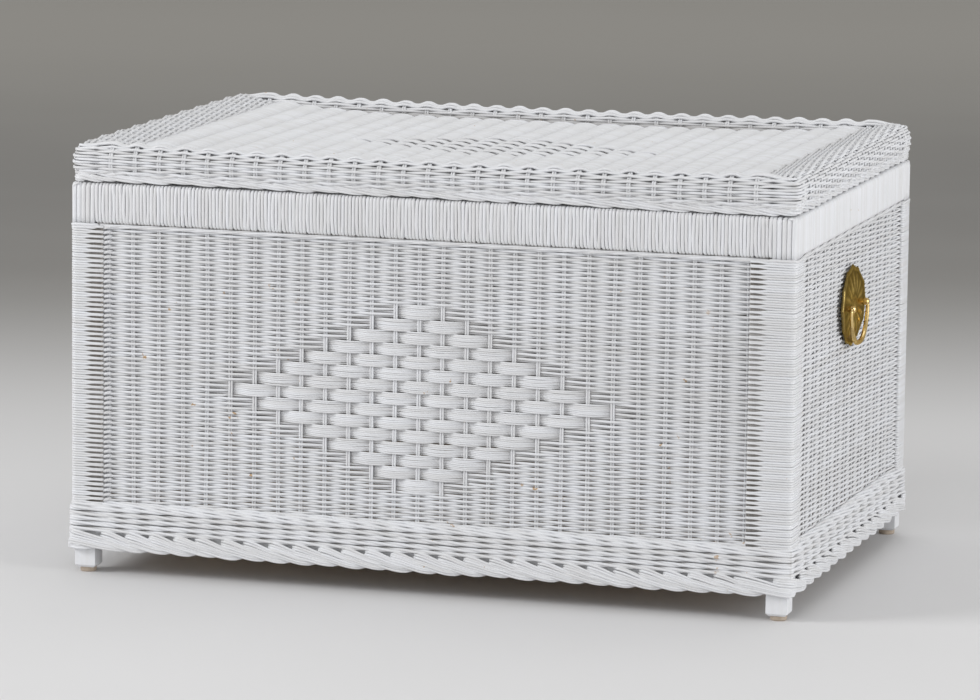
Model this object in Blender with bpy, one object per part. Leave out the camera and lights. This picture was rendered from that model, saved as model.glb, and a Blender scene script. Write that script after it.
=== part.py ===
"""White wicker storage trunk with a hinged lid and a brass drop pull on each end.

Metres, +Z up, standing on Z = 0. The width runs along X, the front faces -Y and the lid's
hinges are at +Y. The origin is at floor level, in the middle of the plan.
"""

import math

import bmesh
import bpy
from mathutils import Matrix, Vector

# ---- driving dimensions ---------------------------------------------------------------
WIDTH = 0.900  # over the wrapped posts
DEPTH = 0.610
RAIL_TOP = 0.480  # top of the trunk body, where the lid rests
LID_TOP = 0.530
GAP = 0.0003  # clearance left between touching pieces

STAKE_PITCH = 0.8 / 26  # double stakes of the front, back and lid
STAKE_PITCH_END = 0.042  # double stakes of the two end panels
FRONT_STAKES = 27
END_STAKES = 13

POST = 0.026  # square post
WRAP = 0.0029  # thickness of the reed wrapped round posts and rails
GLIDE_HEIGHT = 0.006
GLIDE_RADIUS = 0.010
FOOT_CHAMFER = 0.003

BORDER_BOTTOM = 0.029  # rolled foot border, then the waling above it
WALING_BOTTOM = 0.052
WALING_TOP = 0.084
SKIRT_PROUD = 0.0065  # how far the skirt stands outside the posts
SKIRT_CORNER = 0.004

TOP_RAIL_HEIGHT = 0.044
TOP_RAIL_THICK = 0.022
BOTTOM_RAIL_LOW = 0.036
BOTTOM_RAIL_HIGH = 0.0765
BOTTOM_RAIL_THICK = 0.020
FLOOR_THICK = 0.006

PANEL_INSET = 0.004  # woven panels sit this far behind the posts' faces
PANEL_HALF = 0.0033  # half thickness of a panel between two stakes' bulges
FLUTE = 0.0009  # how far a weave bulges over each stake

LID_INSET = 0.010  # lid border, measured in from the posts' faces
LID_BORDER_THICK = 0.007
LID_BORDER_TOP = 0.4985
LID_RAIL_THICK = 0.020
LID_RAIL_BOTTOM = RAIL_TOP + 0.0019
LID_RAIL_TOP = 0.5005
LID_FIELD_TOP = 0.5115  # the top is a shallow tray inside its raised rim
LID_BULGE = 0.0095  # lid wall outside its own border
LID_CORNER = 0.0155
LID_RAIL_SHORT = 0.004  # front and back lid rails stop short of the rounded corners

HINGE_X = 0.260
HINGE_AXIS = (0.3082, RAIL_TOP + 0.001)  # (y, z)
HINGE_WIDTH = 0.050
KNUCKLE_RADIUS = 0.0029
HINGE_PIN_RADIUS = 0.0013
LEAF = 0.0012
LEAF_DROP = 0.034
LEAF_REACH = 0.2675  # inner edge of the lid's leaf

PULL_Z = 0.3355
PULL_SPAN = 0.072  # between the centres of the two posts
PULL_POST_RADIUS = 0.0050
PULL_POST_OUT = 0.0155  # tip of a post, from the panel's face
PULL_AXIS_OUT = 0.0115
PULL_SHANK_RADIUS = 0.0022
PLATE_HALF_WIDTH = 0.059
PLATE_HALF_HEIGHT = 0.0525
PLATE_THICK = 0.0024
BAIL_HALF_WIDTH = 0.044
BAIL_SHOULDER = 0.003  # centre-line radius of the bend beside each post
BAIL_STUB_IN = 0.002  # where a stub ends, outward from its post's centre
BAIL_HOLE_DEPTH = 0.0042
BAIL_DROP = 0.045
BAIL_LEG_RADIUS = 0.0020
BAIL_GRIP_RADIUS = 0.0030

# ---- worked out from them ---------------------------------------------------------------
HALF_X = WIDTH / 2
HALF_Y = DEPTH / 2
CORE_X = HALF_X - WRAP - GAP  # outer faces of the bare posts and rails
CORE_Y = HALF_Y - WRAP - GAP
POST_IN_X = CORE_X - POST  # inner faces of the posts
POST_IN_Y = CORE_Y - POST
PANEL_MID_X = HALF_X - PANEL_INSET - PANEL_HALF - FLUTE
PANEL_MID_Y = HALF_Y - PANEL_INSET - PANEL_HALF - FLUTE
PANEL_FACE_X = HALF_X - PANEL_INSET
RAIL_WRAP_BOTTOM = RAIL_TOP - TOP_RAIL_HEIGHT - 2 * (WRAP + GAP)
LID_X = HALF_X - LID_INSET
LID_Y = HALF_Y - LID_INSET
LID_CORE_X = LID_X - LID_BORDER_THICK - 0.0015
LID_CORE_Y = LID_Y - LID_BORDER_THICK - 0.0015

SIDES = {"front": (0, -1), "back": (0, 1), "left": (-1, 0), "right": (1, 0)}
CORNERS = {
    "front_left": (-1, -1),
    "front_right": (1, -1),
    "back_left": (-1, 1),
    "back_right": (1, 1),
}


# ---- materials ------------------------------------------------------------------------
def material(name, color, roughness, metallic=0.0):
    """A Principled BSDF material, made once and reused by name."""
    found = bpy.data.materials.get(name)
    if found:
        return found
    made = bpy.data.materials.new(name)
    made.use_nodes = True
    shader = made.node_tree.nodes["Principled BSDF"]
    shader.inputs["Base Color"].default_value = (*color, 1.0)
    shader.inputs["Roughness"].default_value = roughness
    shader.inputs["Metallic"].default_value = metallic
    made.diffuse_color = (*color, 1.0)
    return made


def painted_reed():
    return material("painted_reed", (0.74, 0.75, 0.77), 0.5)


def painted_wood():
    return material("painted_wood", (0.72, 0.73, 0.75), 0.45)


def bare_wood():
    return material("bare_wood", (0.42, 0.30, 0.19), 0.6)


def plywood():
    return material("plywood", (0.52, 0.40, 0.27), 0.6)


def brass():
    return material("brass", (0.62, 0.45, 0.18), 0.3, 1.0)


def antique_brass():
    return material("antique_brass", (0.34, 0.26, 0.13), 0.42, 1.0)


def zinc():
    return material("zinc", (0.55, 0.55, 0.56), 0.38, 1.0)


# ---- shape helpers ----------------------------------------------------------------------
def add_object(name, bm, mat, origin=(0.0, 0.0, 0.0), smooth=False, parent=None):
    """Turn a bmesh in world coordinates into an object whose origin is where asked."""
    bmesh.ops.recalc_face_normals(bm, faces=bm.faces)
    shift = Vector(origin)
    bmesh.ops.translate(bm, verts=bm.verts, vec=-shift)
    mesh = bpy.data.meshes.new(name)
    bm.to_mesh(mesh)
    bm.free()
    mesh.materials.append(mat)
    if smooth:
        mesh.shade_smooth()
        mesh.set_sharp_from_angle(angle=math.radians(40))
    obj = bpy.data.objects.new(name, mesh)
    bpy.context.scene.collection.objects.link(obj)
    if parent:
        obj.parent = parent
        obj.location = shift - parent.location
    else:
        obj.location = shift
    return obj


def empty(name, location):
    """A marker on a joint's axis, which the pieces that turn are parented to."""
    made = bpy.data.objects.new(name, None)
    made.location = location
    bpy.context.scene.collection.objects.link(made)
    bpy.context.view_layer.update()
    return made


def box_mesh(low, high):
    bm = bmesh.new()
    low, high = Vector(low), Vector(high)
    place = Matrix.Translation((low + high) / 2) @ Matrix.Diagonal((*(high - low), 1.0))
    bmesh.ops.create_cube(bm, size=1.0, matrix=place)
    return bm


def prism_mesh(outline, start, end, axis):
    """A straight solid: a flat outline carried from start to end along axis.

    The outline's two numbers are the other two coordinates, in X, Y, Z order.
    """
    bm = bmesh.new()
    rings = []
    for level in (start, end):
        points = []
        for first, second in outline:
            values = [first, second]
            values.insert(axis, level)
            points.append(bm.verts.new(values))
        rings.append(points)
    count = len(outline)
    for index in range(count):
        after = (index + 1) % count
        bm.faces.new((rings[0][index], rings[0][after], rings[1][after], rings[1][index]))
    bm.faces.new(rings[0])
    bm.faces.new(rings[1][::-1])
    return bm


def grid_tube_mesh(rings, closed):
    """Skin a list of point rings; a closed one joins its last ring to its first."""
    bm = bmesh.new()
    rows = [[bm.verts.new(point) for point in ring] for ring in rings]
    spans = len(rows) if closed else len(rows) - 1
    sides = len(rows[0])
    for row in range(spans):
        here = rows[row]
        there = rows[(row + 1) % len(rows)]
        for side in range(sides):
            after = (side + 1) % sides
            bm.faces.new((here[side], here[after], there[after], there[side]))
    if not closed:
        bm.faces.new(rows[0][::-1])
        bm.faces.new(rows[-1])
    return bm


def lathe_mesh(profile, center, axis, segments):
    """Turn a profile of (radius, distance along axis) points about an axis."""
    spin = Vector(axis).to_track_quat("Z", "Y").to_matrix()
    rings = []
    for radius, along in profile:
        ring = []
        for step in range(segments):
            angle = 2 * math.pi * step / segments
            local = Vector((radius * math.cos(angle), radius * math.sin(angle), along))
            ring.append(Vector(center) + spin @ local)
        rings.append(ring)
    return grid_tube_mesh(rings, closed=False)


def rounded_loop(half_x, half_y, radius, steps):
    """Points and outward directions round a rectangle with rounded corners."""
    loop = []
    for quarter, (sx, sy) in enumerate(((1, 1), (-1, 1), (-1, -1), (1, -1))):
        for step in range(steps + 1):
            angle = math.pi / 2 * (quarter + step / steps)
            out = Vector((math.cos(angle), math.sin(angle)))
            middle = Vector((sx * (half_x - radius), sy * (half_y - radius)))
            loop.append((middle + radius * out, out))
    return loop


def ring_mesh(half_x, half_y, radius, profile, steps=4):
    """A band round the plan: profile points are (distance outward, height)."""
    rings = []
    for point, out in rounded_loop(half_x, half_y, radius, steps):
        rings.append([(*(point + away * out), height) for away, height in profile])
    return grid_tube_mesh(rings, closed=True)


def combine(name, base, tool, operation):
    """Boolean of two meshes with the exact solver, returned as one bmesh."""
    scene = bpy.context.scene.collection
    pair = []
    for label, bm in (("base", base), ("tool", tool)):
        bmesh.ops.recalc_face_normals(bm, faces=bm.faces)
        mesh = bpy.data.meshes.new(f"{name}_{label}")
        bm.to_mesh(mesh)
        bm.free()
        obj = bpy.data.objects.new(f"{name}_{label}", mesh)
        scene.objects.link(obj)
        pair.append(obj)
    modifier = pair[0].modifiers.new("combine", "BOOLEAN")
    modifier.solver = "EXACT"
    modifier.operation = operation
    modifier.object = pair[1]
    graph = bpy.context.evaluated_depsgraph_get()
    result = bmesh.new()
    result.from_object(pair[0], graph)
    for obj in pair:
        bpy.data.objects.remove(obj)
    return result


def cylinder_mesh(center, axis, radius, length, segments=20):
    half = length / 2
    return lathe_mesh([(radius, -half), (radius, half)], center, axis, segments)


def sleeve_mesh(low, high, axis, wall, corner=0.004):
    """A wrapped casing round a square bar: rounded outside, square inside, open ends."""
    plan = [index for index in range(3) if index != axis]
    middle = [(low[i] + high[i]) / 2 for i in plan]
    half = [(high[i] - low[i]) / 2 for i in plan]
    steps = 2
    outer = rounded_loop(half[0], half[1], corner, steps)
    inner = rounded_loop(half[0] - wall, half[1] - wall, 0.0004, steps)
    section = []
    for level, loop in ((low, outer), (high, outer), (high, inner), (low, inner)):
        ring = []
        for point, _ in loop:
            values = [middle[0] + point.x, middle[1] + point.y]
            values.insert(axis, level[axis])
            ring.append(values)
        section.append(ring)
    return grid_tube_mesh(section, closed=True)


def turned_plan(side, along, across):
    """(x, y) of a place given along a side and outward from the middle of the plan."""
    sx, sy = SIDES[side]
    return (across * sx, along) if sx else (along, across * sy)


def side_box(side, half_length, inner, outer, low, high):
    """Corners of a straight bar that runs along one side of the trunk."""
    a = turned_plan(side, -half_length, inner)
    b = turned_plan(side, half_length, outer)
    xs = sorted((a[0], b[0]))
    ys = sorted((a[1], b[1]))
    return (xs[0], ys[0], low), (xs[1], ys[1], high)


def fluted_outline(half_length, stakes, pitch, front, back, wave):
    """Outline along a woven sheet: each face bulges over every stake."""
    per_stake = 4
    first = -(stakes - 1) / 2 * pitch - pitch / 2
    places = [-half_length]
    for index in range(stakes * per_stake + 1):
        place = first + index * pitch / per_stake
        if abs(place) < half_length - 0.001:
            places.append(place)
    places.append(half_length)

    def height(place):
        return wave * math.cos(2 * math.pi * place / pitch)

    outline = [(place, front + height(place)) for place in places]
    return outline + [(place, back - height(place)) for place in reversed(places)]


# ---- trunk body -------------------------------------------------------------------------
def corner_posts():
    for name, (sx, sy) in CORNERS.items():
        xs = sorted((sx * POST_IN_X, sx * CORE_X))
        ys = sorted((sy * POST_IN_Y, sy * CORE_Y))
        top = RAIL_TOP - WRAP - 2 * GAP
        bm = box_mesh((xs[0], ys[0], GLIDE_HEIGHT), (xs[1], ys[1], top))
        foot = [e for e in bm.edges if all(v.co.z < BORDER_BOTTOM for v in e.verts)]
        bmesh.ops.bevel(bm, geom=foot, offset=FOOT_CHAMFER, segments=1, affect="EDGES")
        add_object(f"corner_post_{name}", bm, painted_wood())


def foot_glides():
    lip = 0.0012
    for name, (sx, sy) in CORNERS.items():
        center = (sx * (CORE_X - POST / 2), sy * (CORE_Y - POST / 2), 0.0)
        profile = [
            (GLIDE_RADIUS - lip, 0.0),
            (GLIDE_RADIUS, lip),
            (GLIDE_RADIUS, GLIDE_HEIGHT - GAP),
        ]
        bm = lathe_mesh(profile, center, (0, 0, 1), 24)
        add_object(f"foot_glide_{name}", bm, bare_wood(), smooth=True)


def rails():
    """Square bars between the posts, with a reed casing round the upper four."""
    top_low = RAIL_WRAP_BOTTOM + WRAP + GAP
    top_high = RAIL_TOP - WRAP - GAP
    for side, (sx, _) in SIDES.items():
        core = CORE_X if sx else CORE_Y
        half = (POST_IN_Y if sx else POST_IN_X) - GAP
        bar = side_box(side, half, core - BOTTOM_RAIL_THICK, core, BOTTOM_RAIL_LOW, BOTTOM_RAIL_HIGH)
        add_object(f"bottom_rail_{side}", box_mesh(*bar), painted_wood())
        bar = side_box(side, half, core - TOP_RAIL_THICK, core, top_low, top_high)
        add_object(f"top_rail_{side}", box_mesh(*bar), painted_wood())
        skin = WRAP + GAP
        low, high = side_box(
            side, half, core - TOP_RAIL_THICK - skin, core + skin, RAIL_WRAP_BOTTOM, RAIL_TOP
        )
        bm = sleeve_mesh(low, high, 1 if sx else 0, WRAP)
        add_object(f"rail_wrap_{side}", bm, painted_reed(), smooth=True)


def post_wraps():
    """Reed casings round the posts between the waling and the top rails."""
    skin = WRAP + GAP
    for name, (sx, sy) in CORNERS.items():
        xs = sorted((sx * (POST_IN_X - skin), sx * HALF_X))
        ys = sorted((sy * (POST_IN_Y - skin), sy * HALF_Y))
        low = (xs[0], ys[0], WALING_TOP + 2 * GAP)
        high = (xs[1], ys[1], RAIL_WRAP_BOTTOM - GAP)
        bm = sleeve_mesh(low, high, 2, WRAP, corner=0.006)
        add_object(f"post_wrap_{name}", bm, painted_reed(), smooth=True)


def corner_wraps():
    """The bundles of strands that cover each post's top and its two outer faces."""
    for name, (sx, sy) in CORNERS.items():
        xs = sorted((sx * POST_IN_X, sx * HALF_X))
        ys = sorted((sy * POST_IN_Y, sy * HALF_Y))
        shell = box_mesh((xs[0], ys[0], RAIL_WRAP_BOTTOM), (xs[1], ys[1], RAIL_TOP))
        inner_x = sorted((sx * (POST_IN_X - 0.02), sx * (HALF_X - WRAP)))
        inner_y = sorted((sy * (POST_IN_Y - 0.02), sy * (HALF_Y - WRAP)))
        hollow = box_mesh(
            (inner_x[0], inner_y[0], RAIL_WRAP_BOTTOM - 0.02),
            (inner_x[1], inner_y[1], RAIL_TOP - WRAP),
        )
        bm = combine(f"corner_{name}", shell, hollow, "DIFFERENCE")
        add_object(f"corner_wrap_{name}", bm, painted_reed())


def pull_places(side_x):
    """Centres of the two posts of the pull on the end at side_x."""
    return [Vector((side_x * PANEL_FACE_X, y, PULL_Z)) for y in (-PULL_SPAN / 2, PULL_SPAN / 2)]


def woven_panels():
    low = BOTTOM_RAIL_HIGH + GAP
    high = RAIL_WRAP_BOTTOM - GAP
    thick = PANEL_HALF
    for side, (sx, sy) in SIDES.items():
        if sx:
            half = POST_IN_Y - WRAP - 2 * GAP
            middle = sx * PANEL_MID_X
            outline = fluted_outline(
                half, END_STAKES, STAKE_PITCH_END, middle + thick, middle - thick, FLUTE
            )
            outline = [(across, along) for along, across in outline]
        else:
            half = POST_IN_X - WRAP - 2 * GAP
            middle = sy * PANEL_MID_Y
            outline = fluted_outline(
                half, FRONT_STAKES, STAKE_PITCH, middle + thick, middle - thick, FLUTE
            )
        bm = prism_mesh(outline, low, high, 2)
        for place in pull_places(sx) if sx else ():
            hole = cylinder_mesh(place, (1, 0, 0), PULL_SHANK_RADIUS + GAP, 0.03, 12)
            bm = combine(f"panel_{side}", bm, hole, "DIFFERENCE")
        add_object(f"woven_panel_{side}", bm, painted_reed())


def floor_panel():
    """A thin board on the bottom rails, notched round the four posts."""
    long_x = PANEL_MID_X - PANEL_HALF - FLUTE - 0.001
    long_y = PANEL_MID_Y - PANEL_HALF - FLUTE - 0.001
    short_x = POST_IN_X - 2 * GAP
    short_y = POST_IN_Y - 2 * GAP
    quarter = [(long_x, short_y), (short_x, short_y), (short_x, long_y)]
    outline = list(quarter)
    outline += [(-x, y) for x, y in reversed(quarter)]
    outline += [(-x, -y) for x, y in quarter]
    outline += [(x, -y) for x, y in reversed(quarter)]
    low = BOTTOM_RAIL_HIGH + GAP
    add_object("floor_panel", prism_mesh(outline, low, low + FLOOR_THICK, 2), plywood())


def skirt():
    """Waling and rolled border, woven round the foot of the trunk in one go each."""
    inside = GAP * 2 - WRAP
    out = SKIRT_PROUD
    soft = 0.0025
    waling = [
        (inside, WALING_BOTTOM + GAP),
        (out - soft, WALING_BOTTOM + GAP),
        (out - soft / 2, WALING_BOTTOM + soft),
        (out - soft / 2, WALING_TOP - soft),
        (out - soft * 1.5, WALING_TOP),
        (inside, WALING_TOP),
    ]
    bm = ring_mesh(HALF_X, HALF_Y, SKIRT_CORNER, waling)
    add_object("waling_band", bm, painted_reed(), smooth=True)
    middle = (BORDER_BOTTOM + WALING_BOTTOM) / 2
    border = [
        (inside, BORDER_BOTTOM + soft),
        (out - 2 * soft, BORDER_BOTTOM),
        (out - soft / 2, BORDER_BOTTOM + soft),
        (out, middle),
        (out - soft / 2, WALING_BOTTOM - soft),
        (out - soft, WALING_BOTTOM),
        (inside, WALING_BOTTOM),
    ]
    bm = ring_mesh(HALF_X, HALF_Y, SKIRT_CORNER, border)
    add_object("foot_border", bm, painted_reed(), smooth=True)


# ---- lid ----------------------------------------------------------------------------------
def lid_frame(lid):
    for side, (sx, _) in SIDES.items():
        core = LID_CORE_X if sx else LID_CORE_Y
        half = (LID_CORE_Y - LID_RAIL_THICK - GAP) if sx else (LID_CORE_X - LID_RAIL_SHORT)
        bar = side_box(side, half, core - LID_RAIL_THICK, core, LID_RAIL_BOTTOM, LID_RAIL_TOP)
        add_object(f"lid_rail_{side}", box_mesh(*bar), painted_wood(), parent=lid)
    half_y = LID_CORE_Y - LID_RAIL_THICK - GAP
    low = (-0.015, -half_y, LID_RAIL_TOP - 0.014)
    high = (0.015, half_y, LID_RAIL_TOP)
    add_object("lid_batten", box_mesh(low, high), painted_wood(), parent=lid)


def lid_weave(lid):
    """Woven top, bulging walls and the rolled border that rests on the trunk."""
    wall_in = LID_BORDER_THICK
    field_out = 0.0145
    half_x = LID_X - field_out - 2 * GAP
    half_y = LID_Y - field_out - 2 * GAP
    low = LID_RAIL_TOP + GAP
    outline = fluted_outline(half_x, FRONT_STAKES, STAKE_PITCH, LID_FIELD_TOP, low, FLUTE)
    top = [point for point in outline if point[1] > (low + LID_FIELD_TOP) / 2]
    top += [(half_x, low), (-half_x, low)]
    bm = prism_mesh(top, -half_y, half_y, 1)
    add_object("lid_top_weave", bm, painted_reed(), parent=lid)

    wall_low = LID_BORDER_TOP + GAP
    bulge_mid = 0.5150
    wall = [
        (-wall_in, wall_low),
        (0.0, wall_low),
        (0.6 * LID_BULGE, wall_low + 0.007),
        (LID_BULGE, bulge_mid),
        (0.85 * LID_BULGE, bulge_mid + 0.006),
        (0.4 * LID_BULGE, LID_TOP - 0.003),
        (-0.003, LID_TOP),
        (-0.011, LID_TOP - 0.001),
        (-field_out, LID_FIELD_TOP),
        (-wall_in, LID_RAIL_TOP + 0.0015),
    ]
    bm = ring_mesh(LID_X, LID_Y, LID_CORNER, wall, steps=5)
    add_object("lid_side_weave", bm, painted_reed(), smooth=True, parent=lid)

    soft = 0.0025
    border_low = RAIL_TOP + GAP
    border = [
        (-wall_in, border_low + soft / 2),
        (-wall_in + soft, border_low),
        (-soft, border_low),
        (0.0, border_low + soft),
        (0.0, LID_BORDER_TOP),
        (-wall_in, LID_BORDER_TOP),
    ]
    bm = ring_mesh(LID_X, LID_Y, LID_CORNER, border, steps=5)
    for sx in (-1, 1):
        reach = HINGE_WIDTH / 2 + 0.0005
        pocket = box_mesh(
            (sx * HINGE_X - reach, LID_Y - 0.02, RAIL_TOP - 0.01),
            (sx * HINGE_X + reach, LID_Y + 0.02, LID_RAIL_BOTTOM),
        )
        bm = combine("lid_border", bm, pocket, "DIFFERENCE")
    add_object("lid_border", bm, painted_reed(), parent=lid)


# ---- hinges -------------------------------------------------------------------------------
def knuckle(start, end):
    axis_y, axis_z = HINGE_AXIS
    center = ((start + end) / 2, axis_y, axis_z)
    return cylinder_mesh(center, (1, 0, 0), KNUCKLE_RADIUS, end - start)


def hinges(lid):
    """Right-angle hinges: one leaf down the rail's back, the other under the lid's rail."""
    axis_y, axis_z = HINGE_AXIS
    third = HINGE_WIDTH / 3
    for side, sx in (("left", -1), ("right", 1)):
        start = sx * HINGE_X - HINGE_WIDTH / 2
        cuts = [start, start + third, start + 2 * third, start + 3 * third]
        leaf = box_mesh(
            (cuts[0], HALF_Y + GAP, axis_z - LEAF_DROP),
            (cuts[3], HALF_Y + GAP + LEAF, axis_z),
        )
        for low, high in ((cuts[0], cuts[1]), (cuts[2], cuts[3])):
            leaf = combine("leaf", leaf, knuckle(low, high), "UNION")
        clear = KNUCKLE_RADIUS + 0.0004
        gap_cut = box_mesh(
            (cuts[1], axis_y - 0.01, axis_z - clear),
            (cuts[2], axis_y + 0.01, axis_z + clear),
        )
        leaf = combine("leaf", leaf, gap_cut, "DIFFERENCE")
        bore = cylinder_mesh(
            (sx * HINGE_X, axis_y, axis_z), (1, 0, 0), HINGE_PIN_RADIUS + GAP, 0.08, 16
        )
        leaf = combine("leaf", leaf, bore, "DIFFERENCE")
        add_object(f"hinge_body_leaf_{side}", leaf, zinc(), smooth=True)

        low_z = axis_z - LEAF / 2
        leaf = box_mesh((cuts[0], LEAF_REACH, low_z), (cuts[3], axis_y, low_z + LEAF))
        leaf = combine("leaf", leaf, knuckle(cuts[1] + GAP, cuts[2] - GAP), "UNION")
        for low, high in ((cuts[0] - GAP, cuts[1] + GAP), (cuts[2] - GAP, cuts[3] + GAP)):
            relief = box_mesh(
                (low, axis_y - clear, axis_z - clear),
                (high, axis_y + clear, axis_z + clear),
            )
            leaf = combine("leaf", leaf, relief, "DIFFERENCE")
        bore = cylinder_mesh(
            (sx * HINGE_X, axis_y, axis_z), (1, 0, 0), HINGE_PIN_RADIUS + GAP, 0.08, 16
        )
        leaf = combine("leaf", leaf, bore, "DIFFERENCE")
        hinge_at = (sx * HINGE_X, axis_y, axis_z)
        add_object(f"hinge_lid_leaf_{side}", leaf, zinc(), origin=hinge_at, smooth=True, parent=lid)

        reach = HINGE_WIDTH / 2 + GAP
        head = 0.0012
        profile = [
            (HINGE_PIN_RADIUS + 0.0009, -reach - head),
            (HINGE_PIN_RADIUS + 0.0009, -reach),
            (HINGE_PIN_RADIUS, -reach),
            (HINGE_PIN_RADIUS, reach),
            (HINGE_PIN_RADIUS + 0.0009, reach),
            (HINGE_PIN_RADIUS + 0.0009, reach + head),
        ]
        bm = lathe_mesh(profile, hinge_at, (1, 0, 0), 16)
        add_object(f"hinge_pin_{side}", bm, zinc(), origin=hinge_at, smooth=True)


# ---- end pulls ----------------------------------------------------------------------------
def plate_radius(angle):
    """Scalloped oval, wider than tall, drawn out to a point at the top and the bottom."""
    c, s = math.cos(angle), math.sin(angle)
    oval = 1 / math.hypot(c / PLATE_HALF_WIDTH, s / (PLATE_HALF_HEIGHT - 0.005))
    lobes = 0.0011 * math.cos(14 * angle)
    point = 0.0045 * abs(s) ** 14
    return oval + lobes + point


def pull_plate(side, sx):
    """Cast back plate: a flat rim, then a low dome, with a hole for each post's shank."""
    steps = 70
    layers = [(1.0, 0.0), (1.0, 0.0008), (0.975, 0.0014), (0.86, 0.0014), (0.80, PLATE_THICK)]
    face = PANEL_FACE_X + GAP
    rings = []
    for scale, height in layers:
        ring = []
        for step in range(steps):
            angle = 2 * math.pi * step / steps
            radius = scale * plate_radius(angle)
            y = radius * math.cos(angle)
            z = PULL_Z + radius * math.sin(angle)
            ring.append((sx * (face + height), y, z))
        rings.append(ring)
    bm = grid_tube_mesh(rings, closed=False)
    for place in pull_places(sx):
        hole = cylinder_mesh(place, (1, 0, 0), PULL_SHANK_RADIUS + GAP, 0.02, 12)
        bm = combine("plate", bm, hole, "DIFFERENCE")
    add_object(f"pull_plate_{side}", bm, antique_brass(), smooth=True)


def pull_backing(side, sx):
    """Strip inside the trunk that the two shanks are screwed into."""
    outer = PANEL_MID_X - PANEL_HALF - FLUTE - GAP
    xs = sorted((sx * (outer - 0.004), sx * outer))
    reach = PULL_SPAN / 2 + 0.012
    bm = box_mesh((xs[0], -reach, PULL_Z - 0.009), (xs[1], reach, PULL_Z + 0.009))
    for place in pull_places(sx):
        hole = cylinder_mesh(place, (1, 0, 0), PULL_SHANK_RADIUS + GAP, 0.04, 12)
        bm = combine("backing", bm, hole, "DIFFERENCE")
    add_object(f"pull_backing_{side}", bm, bare_wood())


def pull_posts(side, sx):
    """Turned posts: shank through the weave, flange on the plate, drilled for the bail."""
    foot = GAP * 2 + PLATE_THICK
    tip = PULL_POST_OUT
    radius = PULL_POST_RADIUS
    shank = -0.0115
    profile = [
        (PULL_SHANK_RADIUS, shank),
        (PULL_SHANK_RADIUS, foot),
        (radius, foot),
        (radius, foot + 0.0012),
        (0.68 * radius, foot + 0.0024),
        (0.68 * radius, foot + 0.0038),
        (0.92 * radius, PULL_AXIS_OUT - 0.002),
        (0.92 * radius, PULL_AXIS_OUT + 0.0018),
        (0.55 * radius, tip - 0.0005),
        (0.2 * radius, tip),
    ]
    for label, place in zip(("front", "back"), pull_places(sx)):
        bm = lathe_mesh(profile, place, (sx, 0, 0), 20)
        away = math.copysign(1, place.y)
        mouth = place + Vector((sx * PULL_AXIS_OUT, away * radius, 0))
        drill = cylinder_mesh(mouth, (0, 1, 0), BAIL_LEG_RADIUS + GAP, 2 * BAIL_HOLE_DEPTH, 14)
        bm = combine("post", bm, drill, "DIFFERENCE")
        add_object(f"pull_post_{side}_{label}", bm, brass(), smooth=True)


def bail_path():
    """(y, z) of the bail's centre line: stub, rounded shoulder, hanging bow, mirrored."""
    stub = PULL_SPAN / 2 + BAIL_STUB_IN
    shoulder = BAIL_SHOULDER
    half = [Vector((stub, 0.0)), Vector((BAIL_HALF_WIDTH - shoulder, 0.0))]
    for step in range(1, 5):
        angle = math.pi / 2 * (1 - step / 4)
        turn = Vector((math.cos(angle), math.sin(angle) - 1))
        half.append(Vector((BAIL_HALF_WIDTH - shoulder, 0.0)) + shoulder * turn)
    bow = 11
    for step in range(1, bow + 1):
        angle = math.pi / 2 * step / bow
        y = BAIL_HALF_WIDTH * math.cos(angle) ** 0.8
        z = -shoulder - (BAIL_DROP - shoulder) * math.sin(angle) ** 1.2
        half.append(Vector((y, z)))
    half[-1].x = 0.0
    return half + [Vector((-p.x, p.y)) for p in reversed(half[:-1])]


def bail(side, sx):
    """Drop handle, thicker at the grip, whose stubs turn in the two posts."""
    path = bail_path()
    axis_at = Vector((sx * (PANEL_FACE_X + PULL_AXIS_OUT), 0.0, PULL_Z))
    sides = 10
    rings = []
    for index, point in enumerate(path):
        before = path[max(index - 1, 0)]
        after = path[min(index + 1, len(path) - 1)]
        along = (after - before).normalized()
        across = Vector((-along.y, along.x))
        swell = min(1.0, max(0.0, -point.y / BAIL_DROP)) ** 0.7
        radius = BAIL_LEG_RADIUS + (BAIL_GRIP_RADIUS - BAIL_LEG_RADIUS) * swell
        ring = []
        for step in range(sides):
            angle = 2 * math.pi * step / sides
            flat = radius * math.cos(angle) * across
            local = Vector((sx * radius * math.sin(angle), point.x + flat.x, point.y + flat.y))
            ring.append(axis_at + local)
        rings.append(ring)
    bm = grid_tube_mesh(rings, closed=False)
    add_object(f"pull_bail_{side}", bm, brass(), origin=axis_at, smooth=True)


def end_pulls():
    for side, sx in (("left", -1), ("right", 1)):
        pull_plate(side, sx)
        pull_backing(side, sx)
        pull_posts(side, sx)
        bail(side, sx)


def main():
    for obj in list(bpy.data.objects):
        bpy.data.objects.remove(obj)
    corner_posts()
    foot_glides()
    rails()
    post_wraps()
    corner_wraps()
    woven_panels()
    floor_panel()
    skirt()
    lid = empty("lid_axis", (0.0, *HINGE_AXIS))
    lid_frame(lid)
    lid_weave(lid)
    hinges(lid)
    end_pulls()


main()
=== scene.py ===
"""White painted wicker storage trunk: woven reed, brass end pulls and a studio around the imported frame."""

import math

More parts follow.
